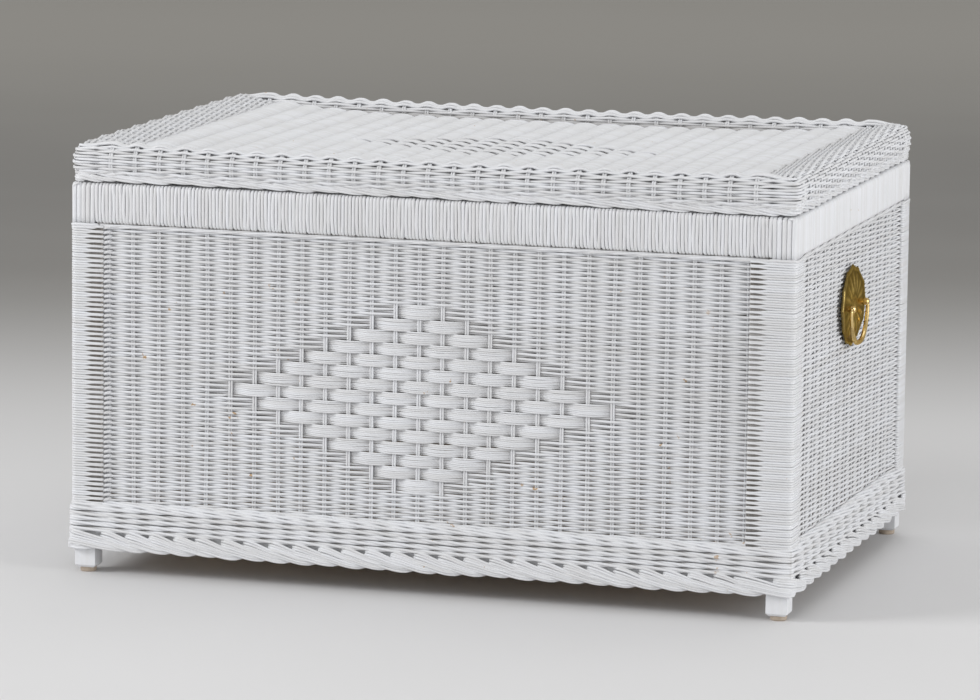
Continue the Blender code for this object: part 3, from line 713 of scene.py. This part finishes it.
def rail_wraps():
    """Reed bound closely round the top rails, with a small gap at every stake."""
    high = RAIL_TOP - RAIL_BOTTOM
    middle_z = (RAIL_TOP + RAIL_BOTTOM) / 2
    thick = 1.45 * MM
    for seed, side in enumerate(SIDES):
        normal, along = SIDES[side]
        corners = np.array([tuple(corner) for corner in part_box(f"rail_wrap_{side}")])
        back = abs(corners @ normal).min()
        half = abs(corners @ along).max()
        face, pitch, per = (HALF_Y, STAKE_PITCH, 7) if side in ("front", "back") else (HALF_X, END_PITCH, 10)
        middle = (face + back) / 2
        loop = rounded_loop((face - back) / 2 - thick, high / 2 - thick, 5.0 * MM, 4, 2)
        reeds = Reeds(200 + seed)
        count = int(2 * half / (pitch / per))
        spacing = 2 * half / count
        for k in range(count):
            s = -half + spacing * (k + 0.5)
            cell = (s / pitch + 0.5) % 1.0
            lean = (0.5 - cell) * 0.8 * MM + reeds.jitter(0.18)
            after = (cell - 0.5) % 1.0
            bow = reeds.jitter(0.25)
            n = middle + loop[:, 0] + reeds.jitter(0.12)
            share = loop[:, 1] / high
            hook = (1 - after) * 2.6 * MM * np.clip(-2 * share, 0, 1) ** 5
            shift = lean * share + bow * np.cos(share * 6.0) + hook
            z = middle_z + loop[:, 1]
            points = (s + shift)[:, None] * along + n[:, None] * normal + z[:, None] * UP
            width = spacing / 2 * reeds.rng.uniform(0.93, 1.04)
            outward = points - (points @ along)[:, None] * along - middle * normal - middle_z * UP
            reeds.add(points, width, unit(outward), squeeze=thick / width, closed=True)

        # how far in from the rail's face and top: drives the grime and painted shade
        def depth(verts, normal=normal, face=face):
            inset = np.minimum(face - verts @ normal, RAIL_TOP - verts[:, 2])
            return (inset - 0.4 * MM) / (3.2 * MM)

        reeds.build(f"rail_reed_{side}", REED_PAINT, "trunk", depth, (f"rail_wrap_{side}",))


def bundle_line(face, reach):
    """A reed up a post and in over its top: how far out and how high it is, and its share of the climb."""
    bottom, top, turn = RAIL_BOTTOM + 0.5 * MM, RAIL_TOP - 1.9 * MM, 5.5 * MM
    arc = np.radians(np.linspace(0, 90, 5))
    inner = face - turn
    over = [inner - 0.5 * (reach - 3 * MM), inner - max(reach - 4 * MM, 1 * MM)]
    out = np.concatenate([np.full(5, face), inner + turn * np.cos(arc), over])
    climb = np.linspace(bottom, top - turn, 5)
    up = np.concatenate([climb, top - turn + turn * np.sin(arc), [top, top - 0.6 * MM]])
    return out, up, (up - bottom) / (top - bottom)


def corner_bundles():
    """Broad reeds carried up each post's two outer faces and mitred over its top."""
    for seed, (corner, (sx, sy)) in enumerate(CORNERS.items()):
        reeds = Reeds(300 + seed)
        middle = np.array([sx * POST_X, sy * POST_Y, RAIL_TOP - 20 * MM])
        for on_end, count in ((True, 7), (False, 5)):
            inner = (POST_Y if on_end else POST_X) - POST_HALF
            outer = (HALF_Y if on_end else HALF_X) - 0.6 * MM
            face = (HALF_X if on_end else HALF_Y) - 1.75 * MM
            step = (outer - inner) / count
            for k in range(count):
                a = inner + step * (k + 0.5)
                radius = step / 2 * reeds.rng.uniform(0.96, 1.06)
                out, up, share = bundle_line(face, max(outer - a, 4.0 * MM))
                fan = (k - count / 2) * 0.25 * MM * share**2
                across = a + fan + reeds.jitter(0.15)
                x, y = (out, across) if on_end else (across, out)
                points = np.stack([sx * x, sy * y, up], 1)
                outward = points - middle
                outward[:, 1 if on_end else 0] = 0.0
                reeds.add(points, radius, unit(outward), squeeze=min(1.0, 1.7 * MM / radius))

        # how far in from the corner's faces and top: drives the grime and painted shade
        def depth(verts):
            inset = np.minimum(HALF_X - abs(verts[:, 0]), HALF_Y - abs(verts[:, 1]))
            inset = np.minimum(inset, RAIL_TOP - verts[:, 2])
            return (inset - 0.5 * MM) / (3.4 * MM)

        reeds.build(f"corner_reed_{corner}", REED_PAINT, "trunk", depth, (f"corner_wrap_{corner}",))


post_wraps()
rail_wraps()
corner_bundles()


# ---- rings: waling, foot border and lid walls ----
class Ring:
    """A rounded rectangle seen from above, walked from the front's left end, front to right to back.

    long and short are the number of stakes and their pitch, on the front or back and on the ends. fan says
    how far before and after a corner its extra stakes stand, along the front or back and along the end.
    """

    def __init__(self, half_x, half_y, radius, long, short, fan=(0.0, 0.0)):
        self.half = {"front": half_x - radius, "right": half_y - radius}
        arc = math.pi / 2 * radius
        self.starts = {}
        points, normals, at = [], [], []
        stakes = []
        u = 0.0
        for k, side in enumerate(SIDES):
            normal, along = SIDES[side]
            on_long_side = k % 2 == 0
            straight = self.half["front" if on_long_side else "right"]
            face = half_y if on_long_side else half_x
            self.starts[side] = u + straight
            stakes += list(u + straight + evenly(*(long if on_long_side else short)))
            for s in (-straight, straight):
                points.append(s * along + face * normal)
                normals.append(normal)
                at.append(u + s + straight)
            u += 2 * straight
            centre = straight * along + (face - radius) * normal
            for i in range(1, 6):
                a = math.pi / 2 * i / 6
                direction = math.cos(a) * normal + math.sin(a) * along
                points.append(centre + radius * direction)
                normals.append(direction)
                at.append(u + arc * i / 6)
            before, after = fan if on_long_side else fan[::-1]
            if before:
                stakes.append(u - before)
            stakes.append(u + arc / 2)
            if after:
                stakes.append(u + arc + after)
            u += arc
        self.length = u
        self.at = np.array(at + [u + at[0]])
        self.points = np.array(points + [points[0]])
        self.normals = np.array(normals + [normals[0]])
        self.stakes = np.array(stakes)

    def walk(self, u):
        u = np.asarray(u, float) % self.length
        return interpolate(u, self.at, self.points), unit(interpolate(u, self.at, self.normals))

    def phase(self, u):
        """Counts stakes along the ring."""
        n = len(self.stakes)
        places = np.concatenate([self.stakes[-1:] - self.length, self.stakes, self.stakes[:1] + self.length])
        return np.interp(u, places, np.arange(-1, n + 1))

    def gaps(self):
        return np.diff(np.append(self.stakes, self.stakes[0] + self.length))


def rope_row(reeds, ring, z, out, radius, swing_n, swing_z, slant, plies=3):
    """A row of waling: plies twisted once in as many stakes."""
    u = np.linspace(0, ring.length, int(ring.length / (5.2 * MM)), endpoint=False)
    point, normal = ring.walk(u)
    drift = reeds.rng.uniform(-0.08, 0.08)
    wave = 2 * np.pi * u / ring.length
    for height, waves in ((0.35 * MM, 9), (0.3 * MM, 23)):
        z = z + height * np.sin(waves * wave + reeds.rng.uniform(0, 6))
    for k in range(plies):
        turn = 2 * np.pi * (ring.phase(u) + drift + k + 0.5) / plies
        n = out + swing_n * np.cos(turn)
        up = z + slant * swing_z * np.sin(turn)
        path = point + normal * n[:, None] + up[:, None] * UP
        reeds.add(path, radius * reeds.rng.uniform(0.95, 1.05), normal, closed=True)


def border_row(reeds, ring, top, bottom, out, strands, radius, span):
    """Bundles that sweep down from each stake and tuck behind the next, with a scalloped lower edge."""
    t = np.linspace(0, 1, 12)
    fall = np.sin(np.pi / 2 * np.clip(t / 0.8, 0, 1)) ** 1.8
    hook = np.clip((t - 0.8) / 0.2, 0, 1) ** 1.5 * 3.2 * MM
    tuck = np.clip((t - 0.62) / 0.38, 0, 1) ** 2 * 6.5 * MM
    start = np.clip(1 - t / 0.16, 0, 1) ** 2 * 3.0 * MM
    width = (strands - 1) * radius
    middle_top = top - radius - width * 0.88
    middle_low = bottom + radius + width * 0.62
    for stake, gap in zip(ring.stakes, ring.gaps()):
        pitch = max(gap, 8 * MM)
        jitter = reeds.jitter(1.0)
        droop = max(reeds.jitter(0.7), -0.4 * MM)
        middle = middle_top + (middle_low + droop - middle_top) * fall + hook
        for m in range(strands):
            offset = 2 * m / (strands - 1) - 1
            u = stake + jitter + pitch * (-0.35 + span * t) - offset * 1.5 * MM
            z = middle - offset * width * (0.90 - 0.28 * fall) + reeds.jitter(0.3)
            crown = 0.5 * MM * (1 - offset**2) - reeds.rng.uniform(0, 0.9) * MM
            n = out - radius - tuck - start - 0.8 * MM * t + crown
            point, normal = ring.walk(u)
            path = point + normal * n[:, None] + z[:, None] * UP
            reeds.add(path, radius * reeds.rng.uniform(0.92, 1.05), normal)


# how far in from a ring's outer face: drives the grime and painted shade
def ring_depth(half_x, half_y, out, reach):
    def depth(verts):
        n = np.maximum(abs(verts[:, 0]) - half_x, abs(verts[:, 1]) - half_y)
        return (out - n) / reach

    return depth


WALE_ROWS = 5
BODY_RING = Ring(HALF_X, HALF_Y, 4.5 * MM, (FRONT_STAKES, STAKE_PITCH), (END_STAKES, END_PITCH))


def waling():
    wale = Reeds(400)
    pitch = (WALE_TOP - WALE_BOTTOM + 0.6 * MM) / WALE_ROWS
    for row in range(WALE_ROWS):
        level = WALE_BOTTOM + pitch * (row + 0.5) - 0.3 * MM
        rope_row(wale, BODY_RING, level, WALE_OUT - 4.3 * MM, 1.9 * MM, 2.4 * MM, 1.6 * MM, -1)
    depth = ring_depth(HALF_X, HALF_Y, WALE_OUT - 0.6 * MM, 4.6 * MM)
    wale.build("waling_reed", REED_PAINT, "trunk", depth, ("waling_band",))
    edge = Reeds(405)
    rope_row(edge, BODY_RING, WALE_TOP + 0.9 * MM, -1.4 * MM, 1.9 * MM, 2.0 * MM, 1.6 * MM, -1)
    rope_row(edge, BODY_RING, WALE_TOP + 3.4 * MM, -4.6 * MM, 1.7 * MM, 1.6 * MM, 1.5 * MM, -1)
    edge.build("waling_edge_reed", REED_PAINT, "trunk", ring_depth(HALF_X, HALF_Y, -0.6 * MM, 9.0 * MM))


def foot_border():
    foot = Reeds(410)
    border_row(foot, BODY_RING, WALE_BOTTOM + 3.5 * MM, FOOT_BOTTOM, FOOT_OUT, 6, 1.7 * MM, 2.1)
    depth = ring_depth(HALF_X, HALF_Y, FOOT_OUT - 0.6 * MM, 7.0 * MM)
    foot.build("foot_border_reed", REED_PAINT, "trunk", depth, ("foot_border",))


waling()
foot_border()

# ---- lid ----
LID_WALL_FOOT = LID_WALL_BOTTOM - 8.0 * MM
LID_END_STAKES = 20
LID_END_PITCH = 28.5 * MM
LID_RING = Ring(
    LID_X + 1.2 * MM, LID_Y, 2.5 * MM,
    (FRONT_STAKES, STAKE_PITCH), (LID_END_STAKES, LID_END_PITCH), (19 * MM, 10 * MM),
)
LID_ROW = 3.5 * MM
LID_REED = 1.72 * MM
RING_ROWS = 11
RIM_START = LID_ROW * (RING_ROWS + 0.4)
ROLL_ROWS = 4
ROLL_LIFT = 3.35  # mm that a scallop stands out over each stake on the roll
RIM_REACH = 38 * MM
SAG = 4.0 * MM
# sections of the lid's edge, out from its wall and up from the wall's foot
WALL_LINE = np.array(
    [
        (6.0, -1.0), (8.8, 5.5), (9.8, 13.0), (9.2, 21.0), (6.4, 28.0),
        (1.4, 33.0), (-4.5, 34.9), (-10.0, 33.6), (-13.4, 29.0), (-14.8, 21.5),
    ]
) * MM
END_LINE = np.array(
    [
        (6.0, -1.0), (8.8, 5.5), (9.8, 13.0), (9.2, 21.0), (6.2, 28.0),
        (0.0, 32.8), (-7.0, 34.8), (-16.0, 34.0), (-26.0, 31.4), (-38.0, 28.6), (-53.0, 26.2),
    ]
) * MM


def profile(line):
    """Distance along a section gives the place on it and its outward direction. Also gives its length."""
    steps = np.linalg.norm(np.diff(line, axis=0), axis=1)
    at = np.append(0, np.cumsum(steps))
    dense = np.linspace(0, at[-1], 60)
    smooth = interpolate(dense, at, line)
    for _ in range(3):
        smooth[1:-1] = (smooth[:-2] + 2 * smooth[1:-1] + smooth[2:]) / 4
    tangent = unit(np.gradient(smooth, axis=0))
    direction = np.stack([tangent[:, 1], -tangent[:, 0]], 1)

    def at_distance(v):
        return interpolate(v, dense, smooth), unit(interpolate(v, dense, direction))

    return at_distance, at[-1]


def lid_sag(x):
    """The old lid hangs a little in its middle."""
    return SAG * (np.clip(abs(x) / LID_X, 0, 1) ** 2 - 1.0)


def lid_surface(at_distance):
    def surface(u, v):
        point, normal = LID_RING.walk(u)
        place, lean = at_distance(np.broadcast_to(v, np.shape(u)))
        points = point + normal * place[..., :1] + (LID_WALL_FOOT + place[..., 1:]) * UP
        points[..., 2] += lid_sag(points[..., 0]) * np.clip(place[..., 1] / (20 * MM), 0, 1)
        return points, unit(normal * lean[..., :1] + lean[..., 1:] * UP)

    return surface


WALL_AT, WALL_LENGTH = profile(WALL_LINE)
END_AT, END_LENGTH = profile(END_LINE)
WALL_SURFACE = lid_surface(WALL_AT)
END_SURFACE = lid_surface(END_AT)


def closed_weaver(reeds, surface, ring, v, parity, lift, radius, steps=6):
    """A row of plain weave right round a ring. It lies flatter where the stakes stand close."""
    count = len(ring.stakes)
    knots = np.append(ring.stakes, ring.stakes[0] + ring.length)
    t = np.linspace(0, 1, steps, endpoint=False)
    wobble = reeds.jitter(0.2, count + 1)
    wobble[-1] = wobble[0]
    gaps = ring.gaps()
    room = np.minimum(np.append(gaps, gaps[0]), np.append(gaps[-1], gaps))
    sign = alternate(count + 1, parity) * np.clip(room / (28 * MM), 0.3, 1.0)
    points, normal = surface(spread(knots, t)[:-1], v + spread(wobble, ease(t))[:-1])
    lifts = spread(sign, bend(t))[:-1] * lift
    reeds.add(points + normal * lifts[:, None], radius, normal, closed=True)


def lid_side(u):
    """The lid's side on which this place on its ring lies, or None on a corner."""
    for side, middle in LID_RING.starts.items():
        if abs(u - middle) < LID_RING.half["front" if side in ("front", "back") else "right"]:
            return side
    return None


def lay_lid_stakes(walls):
    gaps = LID_RING.gaps()
    for j, u in enumerate(LID_RING.stakes):
        if min(gaps[j], gaps[j - 1]) < 22 * MM and max(gaps[j], gaps[j - 1]) < 24 * MM:
            continue
        side = lid_side(u)
        on_end = side in ("left", "right")
        surface, length = (END_SURFACE, END_LENGTH) if on_end else (WALL_SURFACE, WALL_LENGTH)
        if side is None:
            length = LID_ROW * (RING_ROWS + 0.2)
        levels = np.linspace(0.0, length, 30 if on_end else 22)
        s = u + walls.jitter(0.4) + np.zeros(len(levels))
        lay_stake(walls, surface, s, levels, 1.4 * MM)


def lay_long_rims(rims):
    """The front's and back's edges: scalloped rows over the roll, then plain weave down to the field."""
    for side in ("front", "back"):
        stakes = LID_RING.starts[side] + evenly(FRONT_STAKES, STAKE_PITCH)
        for row in range(int((WALL_LENGTH - RIM_START) / LID_ROW) + 2):
            knots = between(stakes[0] - RIM_REACH, stakes, stakes[-1] + RIM_REACH)
            on_roll = row < ROLL_ROWS
            if on_roll:
                lifts = (ROLL_LIFT + alternate(FRONT_STAKES, row, 0.25)) * MM
            else:
                lifts = alternate(FRONT_STAKES, row + RING_ROWS) * 2.6 * MM
            lifts = between(-1.5 * MM, lifts, -1.5 * MM)
            if on_roll:
                middles = (knots[1:-2] + knots[2:-1]) / 2
                places = np.argsort(np.concatenate([knots, middles]))
                lifts = np.concatenate([lifts, np.full(len(middles), -0.3 * MM)])[places]
                knots = np.concatenate([knots, middles])[places]
            way = ease if on_roll else bend
            v = RIM_START + LID_ROW * row
            lay_weaver(rims, WALL_SURFACE, v, knots, lifts, 1.8 * MM, steps=5, way=way)


def lay_end_rims(rims):
    """The ends' broad bands of plain weave, from the roll in to the field."""
    for side in ("right", "left"):
        stakes = LID_RING.starts[side] + evenly(LID_END_STAKES, LID_END_PITCH)
        for row in range(int((END_LENGTH - RIM_START) / LID_ROW) + 1):
            reach = 24 * MM - 1.1 * MM * row
            knots = between(stakes[0] - reach, stakes, stakes[-1] + reach)
            lifts = between(-2 * MM, alternate(LID_END_STAKES, row + RING_ROWS) * 2.3 * MM, -2 * MM)
            v = RIM_START + LID_ROW * row
            lay_weaver(rims, END_SURFACE, v, knots, lifts, LID_REED * rims.rng.uniform(0.95, 1.05), steps=5)


def lid_walls():
    walls = Reeds(500)
    for row in range(RING_ROWS):
        radius = LID_REED * walls.rng.uniform(0.95, 1.05)
        closed_weaver(walls, WALL_SURFACE, LID_RING, LID_ROW * (row + 0.4), row, 3.0 * MM, radius)
    lay_lid_stakes(walls)

    # how far in from the lid's outside and down from its top: grime and painted shade, darkest on the rim's
    # inner face
    def depth(verts):
        n = np.maximum(abs(verts[:, 0]) - LID_X, abs(verts[:, 1]) - LID_Y)
        outside = (14.2 * MM - n) / (10.0 * MM)
        above = (LID_TOP - 0.5 * MM - verts[:, 2] + lid_sag(verts[:, 0])) / (17.0 * MM)
        return np.minimum(outside, above)

    walls.build("lid_wall_reed", REED_LID, "lid", depth, ("lid_side_weave",))
    rims = Reeds(520)
    lay_long_rims(rims)
    lay_end_rims(rims)
    rims.build("lid_rim_reed", REED_LID, "lid", depth)


FIELD_HALF_Y = LID_Y - 15.5 * MM
FIELD_END = 0.3935
FIELD_STAKES = 25
FIELD_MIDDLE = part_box("lid_top_weave")[1].z - 6.4 * MM
FIELD_RISE = 11.5 * MM
FIELD_RISE_AT = 0.385
FIELD_CURVE = 4.5
FIELD_RANKS = 6
FIELD_LIFT = 3.1 * MM


def field_height(x):
    """The field's middle surface, which curves up to the ends."""
    return FIELD_MIDDLE + FIELD_RISE * np.clip(abs(x) / FIELD_RISE_AT, 0, 1) ** FIELD_CURVE


def field_surface(s, v):
    s = np.asarray(s, float)
    return np.stack([s, v * np.ones_like(s), field_height(s)], -1), np.broadcast_to(UP, (*s.shape, 3))


def lid_field():
    stakes = evenly(FIELD_STAKES, STAKE_PITCH)
    rows = int(2 * FIELD_HALF_Y / ROW)
    pitch = 2 * FIELD_HALF_Y / rows
    stray = wander(np.random.default_rng(600), FIELD_STAKES)
    diamond = Diamond(FIELD_RANKS, rows / 2, FIELD_STAKES, 650)

    # how deep in the field's weave: drives the grime and painted shade
    def depth(verts):
        return (field_height(verts[:, 0]) + 4.2 * MM - verts[:, 2]) / (9.0 * MM)

    for part in range(2):
        reeds = Reeds(610 + part)
        for row in range(rows * part // 2, rows * (part + 1) // 2):
            v = -FIELD_HALF_Y + pitch * (row + 0.5)
            knots = between(-FIELD_END, stakes + stray(v), FIELD_END)
            lifts = between(-1 * MM, alternate(FIELD_STAKES, row, FIELD_LIFT), -1 * MM)
            radius = REED * reeds.rng.uniform(0.94, 1.06)
            lay_row(reeds, field_surface, v, knots, lifts, radius, diamond.gap(row, 1), way=ease)
            diamond.lay_course(row, field_surface, v, stakes, stray, pitch)
        if part == 0:
            levels = np.linspace(-FIELD_HALF_Y - 1 * MM, FIELD_HALF_Y + 1 * MM, 30)
            shifts = np.array([stray(v) for v in levels])
            for j in range(FIELD_STAKES):
                lay_stake(reeds, field_surface, stakes[j] + shifts[:, j], levels)
        reeds.build(f"lid_field_{part + 1}", REED_LID, "lid", depth, ("lid_top_weave",))
    diamond.bricks.build("lid_diamond", REED_BRICK, "lid", depth)


def lid_border():
    border = Reeds(700)
    top = LID_WALL_FOOT + 1.6 * MM
    rope_row(border, LID_RING, top, 6.2 * MM, 1.6 * MM, 2.4 * MM, 1.5 * MM, 1)
    border_row(border, LID_RING, top + 1.6 * MM, LID_BOTTOM, 9.6 * MM, 3, 1.75 * MM, 2.0)
    depth = ring_depth(LID_X, LID_Y, 9.2 * MM, 5.5 * MM)
    border.build("lid_border_reed", REED_LID, "lid", depth, ("lid_border",))


lid_walls()
lid_field()
lid_border()


# ---- brass pulls ----
PLATE_AROUND = 240
PLATE_RINGS = 34
# how far the relief may stand out and still clear the bail: mm up or down from its middle, and mm out
PLATE_CEILING = ((0, 22, 30, 40), (6.5, 6.3, 5.5, 4.1))


def plate_outline(a):
    """Scale of the outline at each angle, across and up: scalloped, with a point at its top and foot."""
    lobes = 1 - 0.055 * np.abs(np.sin(6 * a)) ** 0.8
    point = 0.0
    for turn in (np.pi / 2, -np.pi / 2):
        off = np.mod(a - turn + np.pi, 2 * np.pi) - np.pi
        point = point + 0.16 * np.exp(-((off / 0.28) ** 2))
    return lobes * 0.985, lobes * (0.97 + 0.15 * point)


def plate_relief(rho, a):
    """Height in mm: petals and veins between the heart and a beaded rim."""
    petals, veins, beads = (0.5 + 0.5 * np.cos(count * a)[None, :] for count in (16, 48, 90))
    field = np.sin(np.pi * np.clip((rho - 0.24) / 0.62, 0, 1))
    heart = 2.1 * np.exp(-((rho / 0.15) ** 2)) + 1.1 * np.exp(-(((rho - 0.23) / 0.035) ** 2))
    rim = (0.9 + 0.8 * beads) * np.exp(-(((rho - 0.93) / 0.035) ** 2))
    return 1.5 + 1.6 * field * petals**1.5 + 0.5 * field * veins + heart + rim


def ring_faces(start, end, flip):
    """Quads between two rings of the plate's vertices that begin at start and end."""
    j = np.arange(PLATE_AROUND)
    k = (j + 1) % PLATE_AROUND
    quads = np.stack([start + j, start + k, end + k, end + j], 1)
    return (quads[:, ::-1] if flip else quads).tolist()


def pull_plate(side):
    """A leaf shaped back plate with radiating petals, a raised heart and a beaded rim."""
    low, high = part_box(f"pull_plate_{side}")
    sx = 1 if side == "right" else -1
    middle_z = (high.z + low.z) / 2
    back = min(abs(low.x), abs(high.x))
    a = np.linspace(0, 2 * np.pi, PLATE_AROUND, endpoint=False)
    scale_y, scale_z = plate_outline(a)
    rho = np.linspace(0, 1, PLATE_RINGS)[:, None]
    y = ((high.y - low.y) / 2 + 2.5 * MM) * np.cos(a) * scale_y * rho
    z = (high.z - low.z) / 2 * np.sin(a) * scale_z * rho + middle_z
    ceiling = np.interp(abs(z - middle_z) / MM, *PLATE_CEILING)
    edge = 1 - 0.45 * np.clip((rho - 0.965) / 0.035, 0, 1) ** 2
    height = np.minimum(ceiling - 3.3 + 0.8 * plate_relief(rho, a), ceiling) * edge
    face = np.stack([sx * (back + height * MM), y, z], -1).reshape(-1, 3)
    foot_z = middle_z + 0.93 * (z[-1] - middle_z)
    foot = np.stack([np.full(PLATE_AROUND, sx * (back - 0.3 * MM)), 0.86 * y[-1], foot_z], -1)
    starts = PLATE_AROUND * np.arange(PLATE_RINGS + 1)
    faces = []
    for start, end in zip(starts[:-1], starts[1:]):
        faces += ring_faces(start, end, sx < 0)
    closing = (starts[-1] + np.arange(PLATE_AROUND)).tolist()
    faces.append(closing if sx > 0 else closing[::-1])
    name = f"pull_relief_{side}"
    mesh = bpy.data.meshes.new(name)
    mesh.from_pydata(np.concatenate([face, foot]).tolist(), [], faces)
    mesh.polygons.foreach_set("use_smooth", np.ones(len(mesh.polygons), bool))
    sunk = np.append((ceiling - height - 0.2) / 2.4, np.ones(PLATE_AROUND))
    set_attribute(mesh, "depth", sunk)
    mesh.validate()
    finish_piece(name, mesh, ANTIQUE, "trunk", (f"pull_plate_{side}",))


for pull_side in ("right", "left"):
    pull_plate(pull_side)


# ---- camera, light and floor ----
YAW, PITCH, ROLL = (math.radians(a) for a in (-16.633, 8.925, 0.695))
CAMERA_AT = (1.937, -6.522, 1.323)
FOCAL = 203.58
FLOOR_REACH = 16.0


def facing(right, up, forward, at):
    """The place and turn of a camera or light."""
    columns = np.stack([right, up, -forward, np.array(at, float)], 1)
    return Matrix([*columns.tolist(), [0.0, 0.0, 0.0, 1.0]])


def make_camera():
    forward = np.array([math.sin(YAW) * math.cos(PITCH), math.cos(YAW) * math.cos(PITCH), -math.sin(PITCH)])
    right = unit(np.cross(forward, UP))
    up = np.cross(right, forward)
    turned = math.cos(ROLL) * right + math.sin(ROLL) * up
    upright = -math.sin(ROLL) * right + math.cos(ROLL) * up
    data = bpy.data.cameras.new("camera")
    data.lens = FOCAL
    data.sensor_width = 36.0
    data.clip_start, data.clip_end = 0.1, 60.0
    camera = add_object("camera", data)
    camera.matrix_world = facing(turned, upright, forward, CAMERA_AT)
    bpy.context.scene.camera = camera


def area_light(name, at, target, size, power, color):
    data = bpy.data.lights.new(name, "AREA")
    data.shape = "RECTANGLE"
    data.size, data.size_y = size
    data.energy = power
    data.color = color
    forward = unit(np.array(target, float) - np.array(at, float))
    right = unit(np.cross(forward, UP))
    add_object(name, data).matrix_world = facing(right, np.cross(right, forward), forward, at)


def make_floor():
    """A pale, plain studio floor whose colour is painted from pale to grey behind the trunk: painted light
    falloff.
    """
    mesh = bpy.data.meshes.new("studio_floor")
    steps = 17
    line = np.linspace(-FLOOR_REACH, FLOOR_REACH, steps)
    starts = [i * steps + k for i in range(steps - 1) for k in range(steps - 1)]
    faces = [(a, a + 1, a + steps + 1, a + steps) for a in starts]
    mesh.from_pydata([(x, y, 0.0) for y in line for x in line], [], faces)
    floor = add_object("studio_floor", mesh)
    m = Nodes("studio_floor")
    split = m.node("SeparateXYZ")
    m.link(m.place, split.inputs[0])
    # painted shade: the floor's colour darkens with distance behind the trunk, in place of the light's
    # falloff
    across = m.math("MULTIPLY", split.outputs["X"], -0.34)
    away = m.math("ADD", m.math("MULTIPLY", split.outputs["Y"], 0.94), across)
    near_falloff = m.mix(m.ramp(away, 0.3, 2.6), (0.74, 0.735, 0.74), (0.252, 0.243, 0.23))
    painted_falloff = m.mix(m.ramp(away, 3.3, 6.9), near_falloff, (0.45, 0.43, 0.395))
    m.color(m.mix(m.ramp(m.noise(1.3, 2.0), 0.3, 0.7, 0.0, 0.06), painted_falloff, (0.5, 0.49, 0.47)))
    m.set(Roughness=0.75)
    mesh.materials.append(m.material)


make_camera()
make_floor()
area_light("key", (-4.3, -2.7, 2.7), (0.0, 0.0, 0.3), (2.2, 1.8), 150.0, (0.99, 0.995, 1.0))
area_light("fill", (4.8, -1.0, 1.6), (0.0, 0.0, 0.3), (3.0, 2.6), 112.0, (0.99, 0.995, 1.0))
area_light("top", (0.2, 1.4, 3.8), (0.0, 0.4, 0.3), (3.4, 3.0), 28.0, (1.0, 1.0, 1.0))
area_light("front", (1.0, -6.2, 1.3), (0.0, 0.0, 0.2), (2.6, 1.6), 38.0, (0.99, 0.995, 1.0))
world = bpy.data.worlds.new("studio")
bpy.context.scene.world = world
world.use_nodes = True
world.node_tree.nodes["Background"].inputs[0].default_value = (0.80, 0.80, 0.79, 1.0)
world.node_tree.nodes["Background"].inputs[1].default_value = 0.58
bpy.context.scene.view_settings.view_transform = "Standard"
